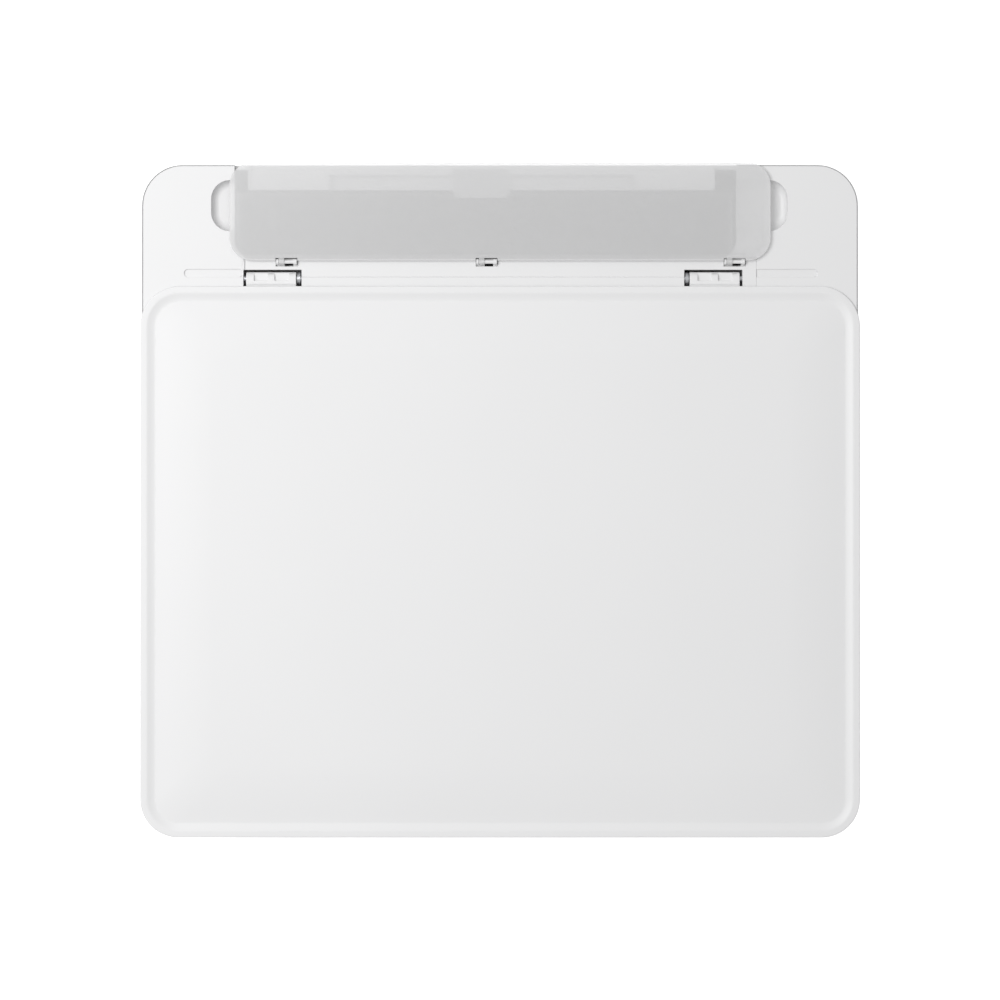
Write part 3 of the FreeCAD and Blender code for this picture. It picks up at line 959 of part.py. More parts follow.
# ---------------------------------------------------------------- electrics
def make_electrics():
    psu_left = -CASE_X + WALL + 9
    save("power_supply", box(psu_left, BAY_LEFT - WALL - 3, CASE_FRONT + 18, -20.0, FLOOR_TOP, FLOOR_TOP + 42))
    board = box(BAY_RIGHT + WALL + 6, CASE_X - WALL - 6, CASE_FRONT + 24, -24.0, 30.0, 31.6)
    chips = [box(x, x + w, y, y + d, 31.6, 31.6 + h) for x, w, y, d, h in
             ((132, 18, -110, 18, 2.4), (156, 12, -128, 20, 6.0), (134, 22, -70, 8, 9.0))]
    posts = [cyl_z(FLOOR_TOP, 30.0, x, y, 3.0) for x in (BAY_RIGHT + WALL + 12, CASE_X - WALL - 12)
             for y in (CASE_FRONT + 40, -34.0)]
    save("main_board", fuse(board, *chips, *posts))
    rear = CASE_REAR
    (x0, x1), (z0, z1) = INLET_X, INLET_Z
    inlet = box(x0 + 0.1, x1 - 0.1, rear - 22, rear - 0.3, z0 + 0.1, z1 - 0.1)
    inlet = inlet.cut(box(x0 + 2.1, x1 - 2.1, rear - 16, rear + 1, z0 + 2.1, z1 - 2.1))
    pins = [cyl_y(rear - 18, rear - 5, x, (z0 + z1) / 2, 1.2) for x in ((x0 + x1) / 2 - 4.4, (x0 + x1) / 2 + 4.4)]
    sockets = [fuse(inlet, *pins)]
    (x0, x1), (z0, z1) = USB_X, USB_Z
    port = box(x0 + 0.1, x1 - 0.1, rear - 18, rear - 0.3, z0 + 0.1, z1 - 0.1)
    port = port.cut(box(x0 + 0.9, x1 - 0.9, rear - 13, rear + 1, z0 + 0.9, z1 - 0.9))
    tongue = box(x0 + 3.4, x1 - 3.4, rear - 14, rear - 4, z0 + 4.2, z1 - 4.2)
    sockets.append(fuse(port, tongue))
    save("rear_sockets", Part.makeCompound(sockets))


os.makedirs("parts", exist_ok=True)
make_base()
make_feet_and_screws()
make_side_covers()
make_rear_cover()
make_front_frame()
make_rear_deck()
make_hinge_strip()
make_chute()
make_paper_guides()
make_paper_support()
make_tray_flap()
make_scanner_shells()
make_scan_drive()
make_hinge_arms()
make_lid()
make_lid_blocks()
make_chassis()
make_platen()
make_rollers()
make_carriage()
make_carriage_drive()
make_inner_guide()
make_cassette()
make_output_tray()
make_panel()
make_electrics()
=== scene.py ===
# %% [markdown]
# # A home inkjet printer, seen from straight above
# The maker's drawing comes in first as a fixed frame: every casing, roller and belt is already at its
# place and size. This lesson adds the soft shapes a drawing leaves out, such as the pillow of the
# document lid and the fine roundings of moulded edges, and then gives every surface its finish.

# %% Load the frame
import bpy
import json
import math
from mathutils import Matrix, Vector

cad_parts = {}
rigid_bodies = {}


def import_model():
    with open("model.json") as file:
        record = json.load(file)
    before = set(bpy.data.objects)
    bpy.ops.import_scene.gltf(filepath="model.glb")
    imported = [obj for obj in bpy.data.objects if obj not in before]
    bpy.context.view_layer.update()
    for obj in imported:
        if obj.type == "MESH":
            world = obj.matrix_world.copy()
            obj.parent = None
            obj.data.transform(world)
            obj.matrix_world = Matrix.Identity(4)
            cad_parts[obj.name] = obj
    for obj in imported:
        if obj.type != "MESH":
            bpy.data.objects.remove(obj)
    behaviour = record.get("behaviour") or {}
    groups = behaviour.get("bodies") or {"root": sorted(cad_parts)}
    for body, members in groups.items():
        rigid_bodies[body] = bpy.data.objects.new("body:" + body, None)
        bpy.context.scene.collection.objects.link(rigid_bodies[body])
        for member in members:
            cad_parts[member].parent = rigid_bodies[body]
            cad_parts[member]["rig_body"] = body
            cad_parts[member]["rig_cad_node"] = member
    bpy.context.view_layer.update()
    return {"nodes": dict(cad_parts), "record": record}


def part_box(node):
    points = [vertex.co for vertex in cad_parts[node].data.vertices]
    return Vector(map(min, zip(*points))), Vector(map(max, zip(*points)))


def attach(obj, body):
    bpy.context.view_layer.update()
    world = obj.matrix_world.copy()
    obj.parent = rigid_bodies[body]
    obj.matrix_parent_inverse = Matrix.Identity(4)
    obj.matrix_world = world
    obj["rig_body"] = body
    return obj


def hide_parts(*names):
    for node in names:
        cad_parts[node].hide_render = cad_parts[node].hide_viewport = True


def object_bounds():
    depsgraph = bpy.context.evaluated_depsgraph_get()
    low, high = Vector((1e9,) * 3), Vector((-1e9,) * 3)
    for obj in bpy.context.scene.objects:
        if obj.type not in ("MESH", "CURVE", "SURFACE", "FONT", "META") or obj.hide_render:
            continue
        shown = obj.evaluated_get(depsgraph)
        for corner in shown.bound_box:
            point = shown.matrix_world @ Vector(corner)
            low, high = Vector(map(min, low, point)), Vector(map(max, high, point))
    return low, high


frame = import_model()
NODES = frame["nodes"]
MM = 0.001


# %% Small helpers for working as by hand
def only(*objects):
    """Select these objects and nothing else; the first one is active."""
    bpy.ops.object.select_all(action="DESELECT")
    for obj in objects:
        obj.select_set(True)
    bpy.context.view_layer.objects.active = objects[0]


def settle(obj):
    """Move the object's place and turn into its mesh."""
    only(obj)
    bpy.ops.object.transform_apply(location=True, rotation=True, scale=True)


def select_faces(obj, test):
    """In edit mode, select just the faces whose centre and normal pass the test."""
    bpy.ops.mesh.select_mode(type="FACE")
    bpy.ops.mesh.select_all(action="DESELECT")
    bpy.ops.object.mode_set(mode="OBJECT")
    for face in obj.data.polygons:
        face.select = test(face.center, face.normal)
    bpy.ops.object.mode_set(mode="EDIT")


def select_edges(obj, test):
    """In edit mode, select just the edges whose two ends pass the test."""
    bpy.ops.mesh.select_mode(type="EDGE")
    bpy.ops.mesh.select_all(action="DESELECT")
    bpy.ops.object.mode_set(mode="OBJECT")
    points = obj.data.vertices
    for edge in obj.data.edges:
        edge.select = test(points[edge.vertices[0]].co, points[edge.vertices[1]].co)
    bpy.ops.object.mode_set(mode="EDIT")


def new_box(name, low, high):
    """A cube primitive stretched between two corners, with its place in its mesh."""
    low, high = Vector(low), Vector(high)
    bpy.ops.object.select_all(action="DESELECT")
    bpy.ops.mesh.primitive_cube_add(size=1, location=(low + high) / 2)
    obj = bpy.context.object
    obj.name = name
    obj.scale = high - low
    settle(obj)
    return obj


def use(obj, *modifiers):
    """Apply the named modifiers in order."""
    only(obj)
    for modifier in modifiers:
        bpy.ops.object.modifier_apply(modifier=modifier.name)


def add_bevel(obj, width, segments=3, angle=40):
    bevel = obj.modifiers.new("Bevel", "BEVEL")
    bevel.width = width
    bevel.segments = segments
    bevel.limit_method = "ANGLE"
    bevel.angle_limit = math.radians(angle)
    bevel.use_clamp_overlap = False
    bevel.miter_outer = "MITER_ARC"
    return bevel


def smooth(obj, angle=38):
    only(obj)
    bpy.ops.object.shade_smooth_by_angle(angle=math.radians(angle))


def finish_piece(obj, material, body, nodes=()):
    """Give a new piece its material, body and slot, and hide the drawn pieces it stands for."""
    obj.data.materials.clear()
    obj.data.materials.append(material)
    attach(obj, body)
    if nodes:
        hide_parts(*nodes)
    print(obj.name, len(obj.data.polygons), "faces")
    return obj


# %% [markdown]
# ## Shader groups
# Most of this printer is moulded plastic. A mould is spark-etched, so the plastic carries a very fine
# even grain that breaks up its shine, and larger walls show a faint cloudiness where the plastic cooled
# unevenly. That grain is one shader group with its own sizes and strengths, placed in each plastic.

# %% Group: moulded grain
CLOUD_SIZE = 14.0            # cloud features per metre, roughly
GRAIN_SHINE = 0.18           # how far the grain moves the roughness
GRAIN_HEIGHT = 0.04 * MM


def make_group(name, inputs, outputs):
    tree = bpy.data.node_groups.new(name, "ShaderNodeTree")
    for socket, kind, value in inputs:
        made = tree.interface.new_socket(socket, in_out="INPUT", socket_type=kind)
        made.default_value = value
    for socket, kind in outputs:
        tree.interface.new_socket(socket, in_out="OUTPUT", socket_type=kind)
    start = tree.nodes.new("NodeGroupInput")
    end = tree.nodes.new("NodeGroupOutput")
    return tree, start, end


def node(tree, kind, **values):
    """A shader node with some of its inputs or settings filled in."""
    made = tree.nodes.new(kind)
    for key, value in values.items():
        if key in made.inputs:
            made.inputs[key].default_value = value
        else:
            setattr(made, key, value)
    return made


def math_node(tree, operation, a, b):
    made = tree.nodes.new("ShaderNodeMath")
    made.operation = operation
    for socket, value in zip(made.inputs, (a, b)):
        if hasattr(value, "links"):
            tree.links.new(value, socket)
        else:
            socket.default_value = value
    return made.outputs[0]


def grain_group():
    tree, start, end = make_group(
        "moulded_grain",
        [("Colour", "NodeSocketColor", (0.8, 0.8, 0.8, 1)), ("Roughness", "NodeSocketFloat", 0.5),
         ("Grain size", "NodeSocketFloat", 3500.0), ("Grain depth", "NodeSocketFloat", 0.1),
         ("Cloud", "NodeSocketFloat", 0.02)],
        [("Colour", "NodeSocketColor"), ("Roughness", "NodeSocketFloat"), ("Normal", "NodeSocketVector")])
    place = node(tree, "ShaderNodeTexCoord")
    grain = node(tree, "ShaderNodeTexNoise", Detail=3.0, Roughness=0.6)
    cloud = node(tree, "ShaderNodeTexNoise", Scale=CLOUD_SIZE, Detail=2.0)
    for texture in (grain, cloud):
        tree.links.new(place.outputs["Object"], texture.inputs["Vector"])
    tree.links.new(start.outputs["Grain size"], grain.inputs["Scale"])
    centred = math_node(tree, "SUBTRACT", cloud.outputs["Fac"], 0.5)
    tint = math_node(tree, "MULTIPLY", centred, start.outputs["Cloud"])
    value = math_node(tree, "ADD", tint, 1.0)
    shade = node(tree, "ShaderNodeHueSaturation")
    tree.links.new(start.outputs["Colour"], shade.inputs["Color"])
    tree.links.new(value, shade.inputs["Value"])
    spread = math_node(tree, "SUBTRACT", grain.outputs["Fac"], 0.5)
    rough = math_node(tree, "MULTIPLY", spread, GRAIN_SHINE)
    rough = math_node(tree, "ADD", rough, start.outputs["Roughness"])
    bump = node(tree, "ShaderNodeBump", Distance=GRAIN_HEIGHT)
    tree.links.new(grain.outputs["Fac"], bump.inputs["Height"])
    tree.links.new(start.outputs["Grain depth"], bump.inputs["Strength"])
    tree.links.new(shade.outputs["Color"], end.inputs["Colour"])
    tree.links.new(rough, end.inputs["Roughness"])
    tree.links.new(bump.outputs["Normal"], end.inputs["Normal"])
    return tree


GRAIN = grain_group()
print("group:", GRAIN.name)


# %% Group: brushed metal
BRUSH_TINT = 0.25            # how far a brush line changes the tone
BRUSH_SHINE = 0.3            # how far it changes the roughness
BRUSH_HEIGHT = 0.05 * MM


def brushed_group():
    tree, start, end = make_group(
        "brushed_metal",
        [("Colour", "NodeSocketColor", (0.6, 0.6, 0.62, 1)), ("Roughness", "NodeSocketFloat", 0.35),
         ("Stretch", "NodeSocketVector", (20.0, 900.0, 900.0))],
        [("Colour", "NodeSocketColor"), ("Roughness", "NodeSocketFloat"), ("Normal", "NodeSocketVector")])
    place = node(tree, "ShaderNodeTexCoord")
    turn = node(tree, "ShaderNodeMapping")
    tree.links.new(place.outputs["Object"], turn.inputs["Vector"])
    tree.links.new(start.outputs["Stretch"], turn.inputs["Scale"])
    lines = node(tree, "ShaderNodeTexNoise", Scale=1.0, Detail=3.0)
    tree.links.new(turn.outputs["Vector"], lines.inputs["Vector"])
    centred = math_node(tree, "SUBTRACT", lines.outputs["Fac"], 0.5)
    tint = math_node(tree, "MULTIPLY", centred, BRUSH_TINT)
    value = math_node(tree, "ADD", tint, 1.0)
    shade = node(tree, "ShaderNodeHueSaturation")
    tree.links.new(start.outputs["Colour"], shade.inputs["Color"])
    tree.links.new(value, shade.inputs["Value"])
    rough = math_node(tree, "MULTIPLY", centred, BRUSH_SHINE)
    rough = math_node(tree, "ADD", rough, start.outputs["Roughness"])
    bump = node(tree, "ShaderNodeBump", Strength=0.15, Distance=BRUSH_HEIGHT)
    tree.links.new(lines.outputs["Fac"], bump.inputs["Height"])
    tree.links.new(shade.outputs["Color"], end.inputs["Colour"])
    tree.links.new(rough, end.inputs["Roughness"])
    tree.links.new(bump.outputs["Normal"], end.inputs["Normal"])
    return tree


BRUSHED = brushed_group()
print("group:", BRUSHED.name)


# %% [markdown]
# ## Finishes
# A finish is a Principled shader fed by one of the groups. The casing, the lid and the inside are
# different mouldings, so each has its own tone, shine and grain. A number that is the same all over a
# surface goes straight on the shader's socket.

# %% Plastics
def grouped_material(name, group, values, **shader):
    material = bpy.data.materials.new(name)
    material.use_nodes = True
    tree = material.node_tree
    principled = tree.nodes["Principled BSDF"]
    effect = tree.nodes.new("ShaderNodeGroup")
    effect.node_tree = group
    for key, value in values.items():
        effect.inputs[key].default_value = value
    tree.links.new(effect.outputs["Colour"], principled.inputs["Base Color"])
    tree.links.new(effect.outputs["Roughness"], principled.inputs["Roughness"])
    tree.links.new(effect.outputs["Normal"], principled.inputs["Normal"])
    for key, value in shader.items():
        principled.inputs[key.replace("_", " ")].default_value = value
    return material


def plastic(name, colour, roughness, grain=0.1, size=3500.0, cloud=0.02, **shader):
    rgba = tuple(colour) + (1,)
    return grouped_material(name, GRAIN, {"Colour": rgba, "Roughness": roughness, "Grain size": size,
                                          "Grain depth": grain, "Cloud": cloud}, **shader)


def grey(level, blue=0.004):
    return (level, level, level + blue)


CASING = plastic("casing_white", grey(0.785), 0.42, 0.12)
LID = plastic("lid_white", grey(0.79), 0.46, 0.16)
LID_INNER = plastic("lid_inner_white", grey(0.76), 0.5)
BASE = plastic("base_grey_white", grey(0.62), 0.55, 0.2)
TRAY = plastic("rear_tray_grey", grey(0.20), 0.5)
SUPPORT = plastic("paper_support_pale", grey(0.85), 0.48)
# the tab's darker grey also colours the pane ribs, as painted shade lines along the panes' edges
TAB_AND_SHADE_LINES = plastic("support_tab_and_painted_shade_lines", grey(0.58), 0.5)
BLACK = plastic("inner_black", grey(0.022, 0.001), 0.5, 0.2)
GEAR = plastic("gear_acetal", (0.78, 0.76, 0.68), 0.38, 0.05)
CARTRIDGE = plastic("cartridge_black", grey(0.016, 0.001), 0.35, 0.1)
OUTPUT = plastic("output_tray_grey", grey(0.10, 0.002), 0.5, 0.2)
BUTTON = plastic("button_grey", grey(0.48), 0.4, 0.08)
RUBBER = plastic("rubber_black", grey(0.03, 0.0), 0.78, 0.5, 2200.0)
SOCKET = plastic("socket_black", grey(0.015, 0.0), 0.45, 0.15)
PAD = plastic("document_pad_white", grey(0.86, 0.0), 0.7, 0.25, 900.0, 0.01)
CASSETTE = plastic("cassette_white", grey(0.74), 0.46, 0.12)
PANEL = plastic("panel_white", grey(0.80), 0.22, 0.02, Coat_Weight=0.35, Coat_Roughness=0.12)
print("plastics ready")


# %% Metals
def metal(name, colour, roughness, **values):
    values.update({"Colour": tuple(colour) + (1,), "Roughness": roughness})
    return grouped_material(name, BRUSHED, values, Metallic=1.0)


STEEL = metal("zinc_plated_steel", (0.58, 0.59, 0.61), 0.36)
CAN = metal("motor_can", (0.50, 0.51, 0.52), 0.42)
SHAFT = metal("ground_feed_shaft", (0.34, 0.34, 0.35), 0.62, Stretch=(1500.0, 1500.0, 1500.0))
BRASS = metal("brass_pinion", (0.70, 0.52, 0.22), 0.30)
print("metals ready")


# %% [markdown]
# The flap over the rear tray is a smoky clear moulding: mostly its own pale grey, with the tray behind
# it showing faintly. Partial alpha on a glossy plastic gives that haze cheaply, and exports.

# %% Clear and dark glossy finishes
def clear_material(name, colour, roughness, alpha):
    material = plastic(name, colour, roughness, 0.03)
    material.node_tree.nodes["Principled BSDF"].inputs["Alpha"].default_value = alpha
    return material


FLAP = clear_material("smoky_clear_flap", (0.825, 0.825, 0.83), 0.3, 0.50)
GLASS = clear_material("scanner_glass", (0.30, 0.34, 0.33), 0.04, 0.28)
DISPLAY = plastic("display_black", grey(0.006, 0.001), 0.1, 0.0, Coat_Weight=0.6, Coat_Roughness=0.04)
BOARD = plastic("board_green", (0.012, 0.10, 0.05), 0.35, 0.1, 900.0, 0.3)
MARK = plastic("printed_grey", grey(0.47), 0.5)
print("clear finishes ready")


# %% [markdown]
# ## Camera, light and table
# The printer is looked at from straight above, so the camera hangs over its middle and looks down, with
# the rear of the printer at the top of the view. A long lens from two metres keeps the sides hidden, as
# a catalogue view does. The width that the view takes in is set at the height of the lid.

# %% Camera
low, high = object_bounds()
LID_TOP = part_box("lid_shell")[1][2]
VIEW_WIDTH = 0.522
DISTANCE = 2.0

camera_data = bpy.data.cameras.new("camera")
camera = bpy.data.objects.new("camera", camera_data)
bpy.context.scene.collection.objects.link(camera)
camera.location = (0, 0, LID_TOP + DISTANCE)
camera_data.lens = camera_data.sensor_width * DISTANCE / VIEW_WIDTH
bpy.context.scene.camera = camera
print("lens:", round(camera_data.lens, 1), "mm")

# %% [markdown]
# A white printer on white needs very even light. Most of it comes from the whole room, which here is a
# plain world colour, and the rest from one large soft lamp at the upper left, so that the lid grows a
# little darker towards the right and every bevel shows a lit side and a shaded side.

# %% World and lamp
ROOM_LIGHT = 0.545
world = bpy.data.worlds.new("room")
world.use_nodes = True
world.node_tree.nodes["Background"].inputs["Color"].default_value = (1.0, 1.0, 1.0, 1)
world.node_tree.nodes["Background"].inputs["Strength"].default_value = ROOM_LIGHT
bpy.context.scene.world = world
bpy.context.scene.view_settings.view_transform = "Standard"

LAMP_AT = Vector((-0.75, 0.3, LID_TOP + 1.4))
LAMP_SIZE = 1.0
LAMP_WATTS = 15.4
lamp_data = bpy.data.lights.new("softbox", "AREA")
lamp_data.shape = "DISK"
lamp_data.size = LAMP_SIZE
lamp_data.energy = LAMP_WATTS
lamp = bpy.data.objects.new("softbox", lamp_data)
bpy.context.scene.collection.objects.link(lamp)
lamp.location = LAMP_AT
aim = Vector((0, 0, LID_TOP)) - LAMP_AT
lamp.rotation_euler = aim.to_track_quat("-Z", "Y").to_euler()
print("lamp at", [round(v, 2) for v in LAMP_AT])

# %% [markdown]
# The table is pure white paper. It is lit like everything else, and also glows a little for the camera
# alone, which lifts it to white without adding light to the printer.

# %% Table
TABLE_SIZE = 12.0
TABLE_GAP = 0.5 * MM         # the printer's lowest point above the paper
TABLE_GLOW = 0.8
bpy.ops.object.select_all(action="DESELECT")
bpy.ops.mesh.primitive_plane_add(size=TABLE_SIZE, location=(0, 0, low[2] - TABLE_GAP))
table = bpy.context.object
table.name = "table"
settle(table)
paper = bpy.data.materials.new("white_paper")
paper.use_nodes = True
tree = paper.node_tree
principled = tree.nodes["Principled BSDF"]
principled.inputs["Base Color"].default_value = (0.9, 0.9, 0.9, 1)
principled.inputs["Roughness"].default_value = 0.9
glow = node(tree, "ShaderNodeEmission")
seen = tree.nodes.new("ShaderNodeLightPath")
add = tree.nodes.new("ShaderNodeAddShader")
camera_only = math_node(tree, "MULTIPLY", seen.outputs["Is Camera Ray"], TABLE_GLOW)
tree.links.new(camera_only, glow.inputs["Strength"])
tree.links.new(principled.outputs["BSDF"], add.inputs[0])
tree.links.new(glow.outputs["Emission"], add.inputs[1])
tree.links.new(add.outputs[0], tree.nodes["Material Output"].inputs["Surface"])
table.data.materials.append(paper)
print("table ready")


# %% [markdown]
# ## Finishes for the drawn pieces
# The drawing already sorts every piece into a finish by the slot of its material. Each slot is given the
# finish made above, and a drawn piece that needs nothing more is done.

# %% Slots
FINISH = {
    "casing": CASING, "lid": LID, "lid_inner": LID_INNER, "pad": PAD, "flap": FLAP, "tray_grey": TRAY,
    "base": BASE, "feet": RUBBER, "steel": STEEL, "motor": CAN, "belt": RUBBER, "mechanism": BLACK,
    "gears": GEAR, "pinion": BRASS, "rollers": RUBBER, "feed_shaft": SHAFT, "cartridge": CARTRIDGE,
    "cassette": CASSETTE, "output": OUTPUT, "panel": PANEL, "display": DISPLAY, "button": BUTTON,
    "glass": GLASS, "scan_bar": BLACK, "supply": CARTRIDGE, "board": BOARD, "sockets": SOCKET,
}
SLOT_OF = {}
for name, obj in NODES.items():
    SLOT_OF[name] = obj.material_slots[0].material.name.split(".")[0]
    for place in obj.material_slots:
        place.material = FINISH[SLOT_OF[name]]
OWN_FINISH = {"paper_support": SUPPORT}
for name, finish in OWN_FINISH.items():
    NODES[name].material_slots[0].material = finish
BODY_OF = {name: body for body, names in frame["record"]["behaviour"]["bodies"].items() for name in names}
print(len(SLOT_OF), "pieces finished")


# %% [markdown]
# ## Moulded edges
# A drawing leaves most edges knife sharp. A real moulding never has one, because plastic doesn't fill a
# sharp corner and a sharp edge feels cheap, so each visible edge is rounded by a third of a millimetre
# or so. That thin rounding catches the light and is what makes a shell look moulded. Each shell is a
# merged copy of its drawn mesh with a Bevel modifier that only takes the real corners. Its triangles are
# first paired into larger faces. Merging each flat side into one face would be tidier still, but the bevel
# then closes a face round a hole, and the opening is lost.

# %% Rounding a drawn shell
SAME_POINT = 0.002 * MM      # points closer than this are one
FLAT = math.radians(1)       # triangles this flat become one face
ANY_SHAPE = math.radians(180)


def moulded(name, width, finish=None, angle=40, segments=2, shading=35):
    """A copy of a drawn piece with rounded edges, which then stands for it."""
    piece = NODES[name].copy()
    piece.data = NODES[name].data.copy()
    piece.parent = None
    piece.name = "moulded_" + name
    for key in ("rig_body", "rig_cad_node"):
        if key in piece:
            del piece[key]
    bpy.context.scene.collection.objects.link(piece)
    only(piece)
    bpy.ops.object.mode_set(mode="EDIT")
    bpy.ops.mesh.select_all(action="SELECT")
    bpy.ops.mesh.remove_doubles(threshold=SAME_POINT)
    bpy.ops.mesh.tris_convert_to_quads(face_threshold=FLAT, shape_threshold=ANY_SHAPE)
    bpy.ops.object.mode_set(mode="OBJECT")
    bevel = add_bevel(piece, width * MM, segments, angle)
    smooth(piece, shading)
    weights = piece.modifiers.new("Weights", "WEIGHTED_NORMAL")
    weights.keep_sharp = True
    use(piece, bevel, weights)
    finish = finish or FINISH[SLOT_OF[name]]
    return finish_piece(piece, finish, BODY_OF[name], [name])


CASING_SHELLS = {
    "left_side_cover": 0.45, "right_side_cover": 0.45, "rear_cover": 0.45, "front_frame": 0.45,
    "rear_deck": 0.1, "scanner_base": 0.45, "scanner_frame": 0.4, "base_tray": 0.5,
    "hinge_strip": 0.15, "lid_hinge_blocks": 0.3, "cassette_tray": 0.4, "output_tray": 0.4,
    "control_panel": 0.5, "tray_flap": 0.12, "paper_support": 0.25, "left_paper_guide": 0.2,
    "right_paper_guide": 0.2, "paper_chute": 0.25, "lid_backing": 0.3,
}
for name, width in CASING_SHELLS.items():
    moulded(name, width, OWN_FINISH.get(name))


# %% [markdown]
# ## The document lid
# The lid is the face of the printer: a flat rim, a shallow slope down to a groove, and a thin pillow of
# a panel that swells out of the groove and is flat over its middle. It could be a grid pushed up by a
# formula, but a box that is inset again and again keeps every ring clean and even. Each inset is one
# line of the lid's section, moved down or up as it is made.

# %% Lid values
LID_LOW, LID_HIGH = [Vector(corner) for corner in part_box("lid_shell")]
LID_MIDDLE = (LID_LOW + LID_HIGH) / 2
CORNER_FRONT = 20.0 * MM
CORNER_REAR = 21.0 * MM
WALL = 2.5 * MM
CROWN = 0.5 * MM             # the pillow's middle above the rim
GROOVE = 1.1 * MM            # the groove below the rim
LAP = 2.0 * MM               # the thin rear edge that laps over the deck
LAP_THICK = 0.9 * MM
RIM = 3.7 * MM               # width of the rim, its rounded edge included
SLOPE = 4.4 * MM             # width of the hollow slope between rim and groove
PILLOW = 30.0 * MM           # width of the pillow's rolled edge
RIM_Z = LID_HIGH.z - CROWN
BACKING_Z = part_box("lid_backing")[1][2]
print("rim at", round(RIM_Z * 1000, 2), "mm")


# %% How far a point lies inside the lid's outline
def inset_of(point):
    """Distance in from the lid's outline, seen from above."""
    across = LID_HIGH.x - abs(point.x)
    along = min(point.y - LID_LOW.y, LID_HIGH.y - point.y)
    radius = CORNER_REAR if point.y > LID_MIDDLE.y else CORNER_FRONT
    if across < radius and along < radius:
        return radius - math.hypot(radius - across, radius - along)
    return min(across, along)


# %% Lid slab with rounded corners
lid = new_box("pillow_lid", (LID_LOW.x, LID_LOW.y, RIM_Z - LAP_THICK), (LID_HIGH.x, LID_HIGH.y, RIM_Z))
only(lid)
bpy.ops.object.mode_set(mode="EDIT")
for side, radius in ((-1, CORNER_FRONT), (1, CORNER_REAR)):
    select_edges(lid, lambda a, b: abs(a.z - b.z) > LAP_THICK / 2 and (a.y - LID_MIDDLE.y) * side > 0)
    bpy.ops.mesh.bevel(offset=radius, segments=16, profile=0.5)
bpy.ops.object.mode_set(mode="OBJECT")
print("corners:", len(lid.data.vertices), "points")

# %% [markdown]
# Below the slab the lid is a deep wall. At the rear that wall stands two millimetres forward, so the
# slab's edge laps over the deck behind it and hides the gap. The underside is hollow, with room for the
# backing sheet and the white document pad.

# %% Lid wall and hollow
HAIR = 0.02 * MM
low_face = RIM_Z - LAP_THICK
bpy.ops.object.mode_set(mode="EDIT")
select_faces(lid, lambda centre, normal: normal.z < -0.9)
bpy.ops.mesh.extrude_region_move(TRANSFORM_OT_translate={"value": (0, 0, -HAIR)})
select_edges(lid, lambda a, b: max(a.z, b.z) < low_face - HAIR / 2 and min(a.y, b.y) > LID_MIDDLE.y)
bpy.ops.transform.translate(value=(0, -LAP, 0))
bpy.ops.mesh.select_all(action="SELECT")
bpy.ops.mesh.remove_doubles(threshold=HAIR * 1.5)
select_faces(lid, lambda centre, normal: normal.z < -0.9 and centre.y < LID_MIDDLE.y + WALL)
bpy.ops.mesh.extrude_region_move(TRANSFORM_OT_translate={"value": (0, 0, LID_LOW.z - low_face)})
bpy.ops.mesh.inset(thickness=WALL)
bpy.ops.mesh.extrude_region_move(TRANSFORM_OT_translate={"value": (0, 0, BACKING_Z - LID_LOW.z)})
bpy.ops.object.mode_set(mode="OBJECT")
print("hollow to", round(BACKING_Z * 1000, 1), "mm")

# %% [markdown]
# The slope is hollow: steep beside the rim, flat where it ends. The pillow is the opposite, rising at
# once and then rolling over. Both are powers of how far across a ring lies, so a few rings give a curve.
# The pillow's rings shrink by a scale instead of an inset, which keeps the roundness of their corners.

# %% Lid section, ring by ring
SLOPE_RINGS = 5
PILLOW_RINGS = 8
SLOPE_POWER = 1.6
PILLOW_POWER = 1.8
bpy.ops.object.mode_set(mode="EDIT")
select_faces(lid, lambda centre, normal: normal.z > 0.9 and centre.z > RIM_Z - HAIR)
bpy.ops.mesh.inset(thickness=RIM)
before = 0.0
for ring in range(1, SLOPE_RINGS + 1):
    down = 1 - (1 - ring / SLOPE_RINGS) ** SLOPE_POWER
    bpy.ops.mesh.inset(thickness=SLOPE / SLOPE_RINGS)
    bpy.ops.transform.translate(value=(0, 0, -GROOVE * (down - before)))
    before = down
half_x = (LID_HIGH.x - LID_LOW.x) / 2 - RIM - SLOPE
half_y = (LID_HIGH.y - LID_LOW.y) / 2 - RIM - SLOPE
step = PILLOW / PILLOW_RINGS
before = 0.0
for ring in range(1, PILLOW_RINGS + 1):
    up = 1 - (1 - ring / PILLOW_RINGS) ** PILLOW_POWER
    bpy.ops.mesh.inset(thickness=0)
    bpy.ops.transform.resize(value=((half_x - step) / half_x, (half_y - step) / half_y, 1),
                             center_override=LID_MIDDLE)
    bpy.ops.transform.translate(value=(0, 0, (CROWN + GROOVE) * (up - before)))
    half_x -= step
    half_y -= step
    before = up
bpy.ops.object.mode_set(mode="OBJECT")
print("rings:", SLOPE_RINGS + PILLOW_RINGS)

# %% [markdown]
# Three edges are rounded by hand: the lid's outer top edge and the inner edge of its rim are soft ones,
# and the bottom edge is a small one. The middle is one huge flat face beside narrow bent ones, so
# normals weighted by face size keep it shaded flat.

# %% Lid roundings
ROUNDINGS = ((0.0, RIM_Z, 0.6, 4), (RIM, RIM_Z, 0.6, 3), (0.0, LID_LOW.z, 0.6, 3))
for inside, height, width, steps in ROUNDINGS:
    bpy.ops.object.mode_set(mode="EDIT")
    select_edges(lid, lambda a, b: max(abs(a.z - height), abs(b.z - height)) < HAIR
                 and max(abs(inset_of(a) - inside), abs(inset_of(b) - inside)) < 0.1 * MM)
    bpy.ops.mesh.bevel(offset=width * MM, segments=steps)
    bpy.ops.object.mode_set(mode="OBJECT")
smooth(lid, 50)
weights = lid.modifiers.new("Weights", "WEIGHTED_NORMAL")
weights.keep_sharp = True
use(lid, weights)
finish_piece(lid, LID, "document_lid", ["lid_shell"])
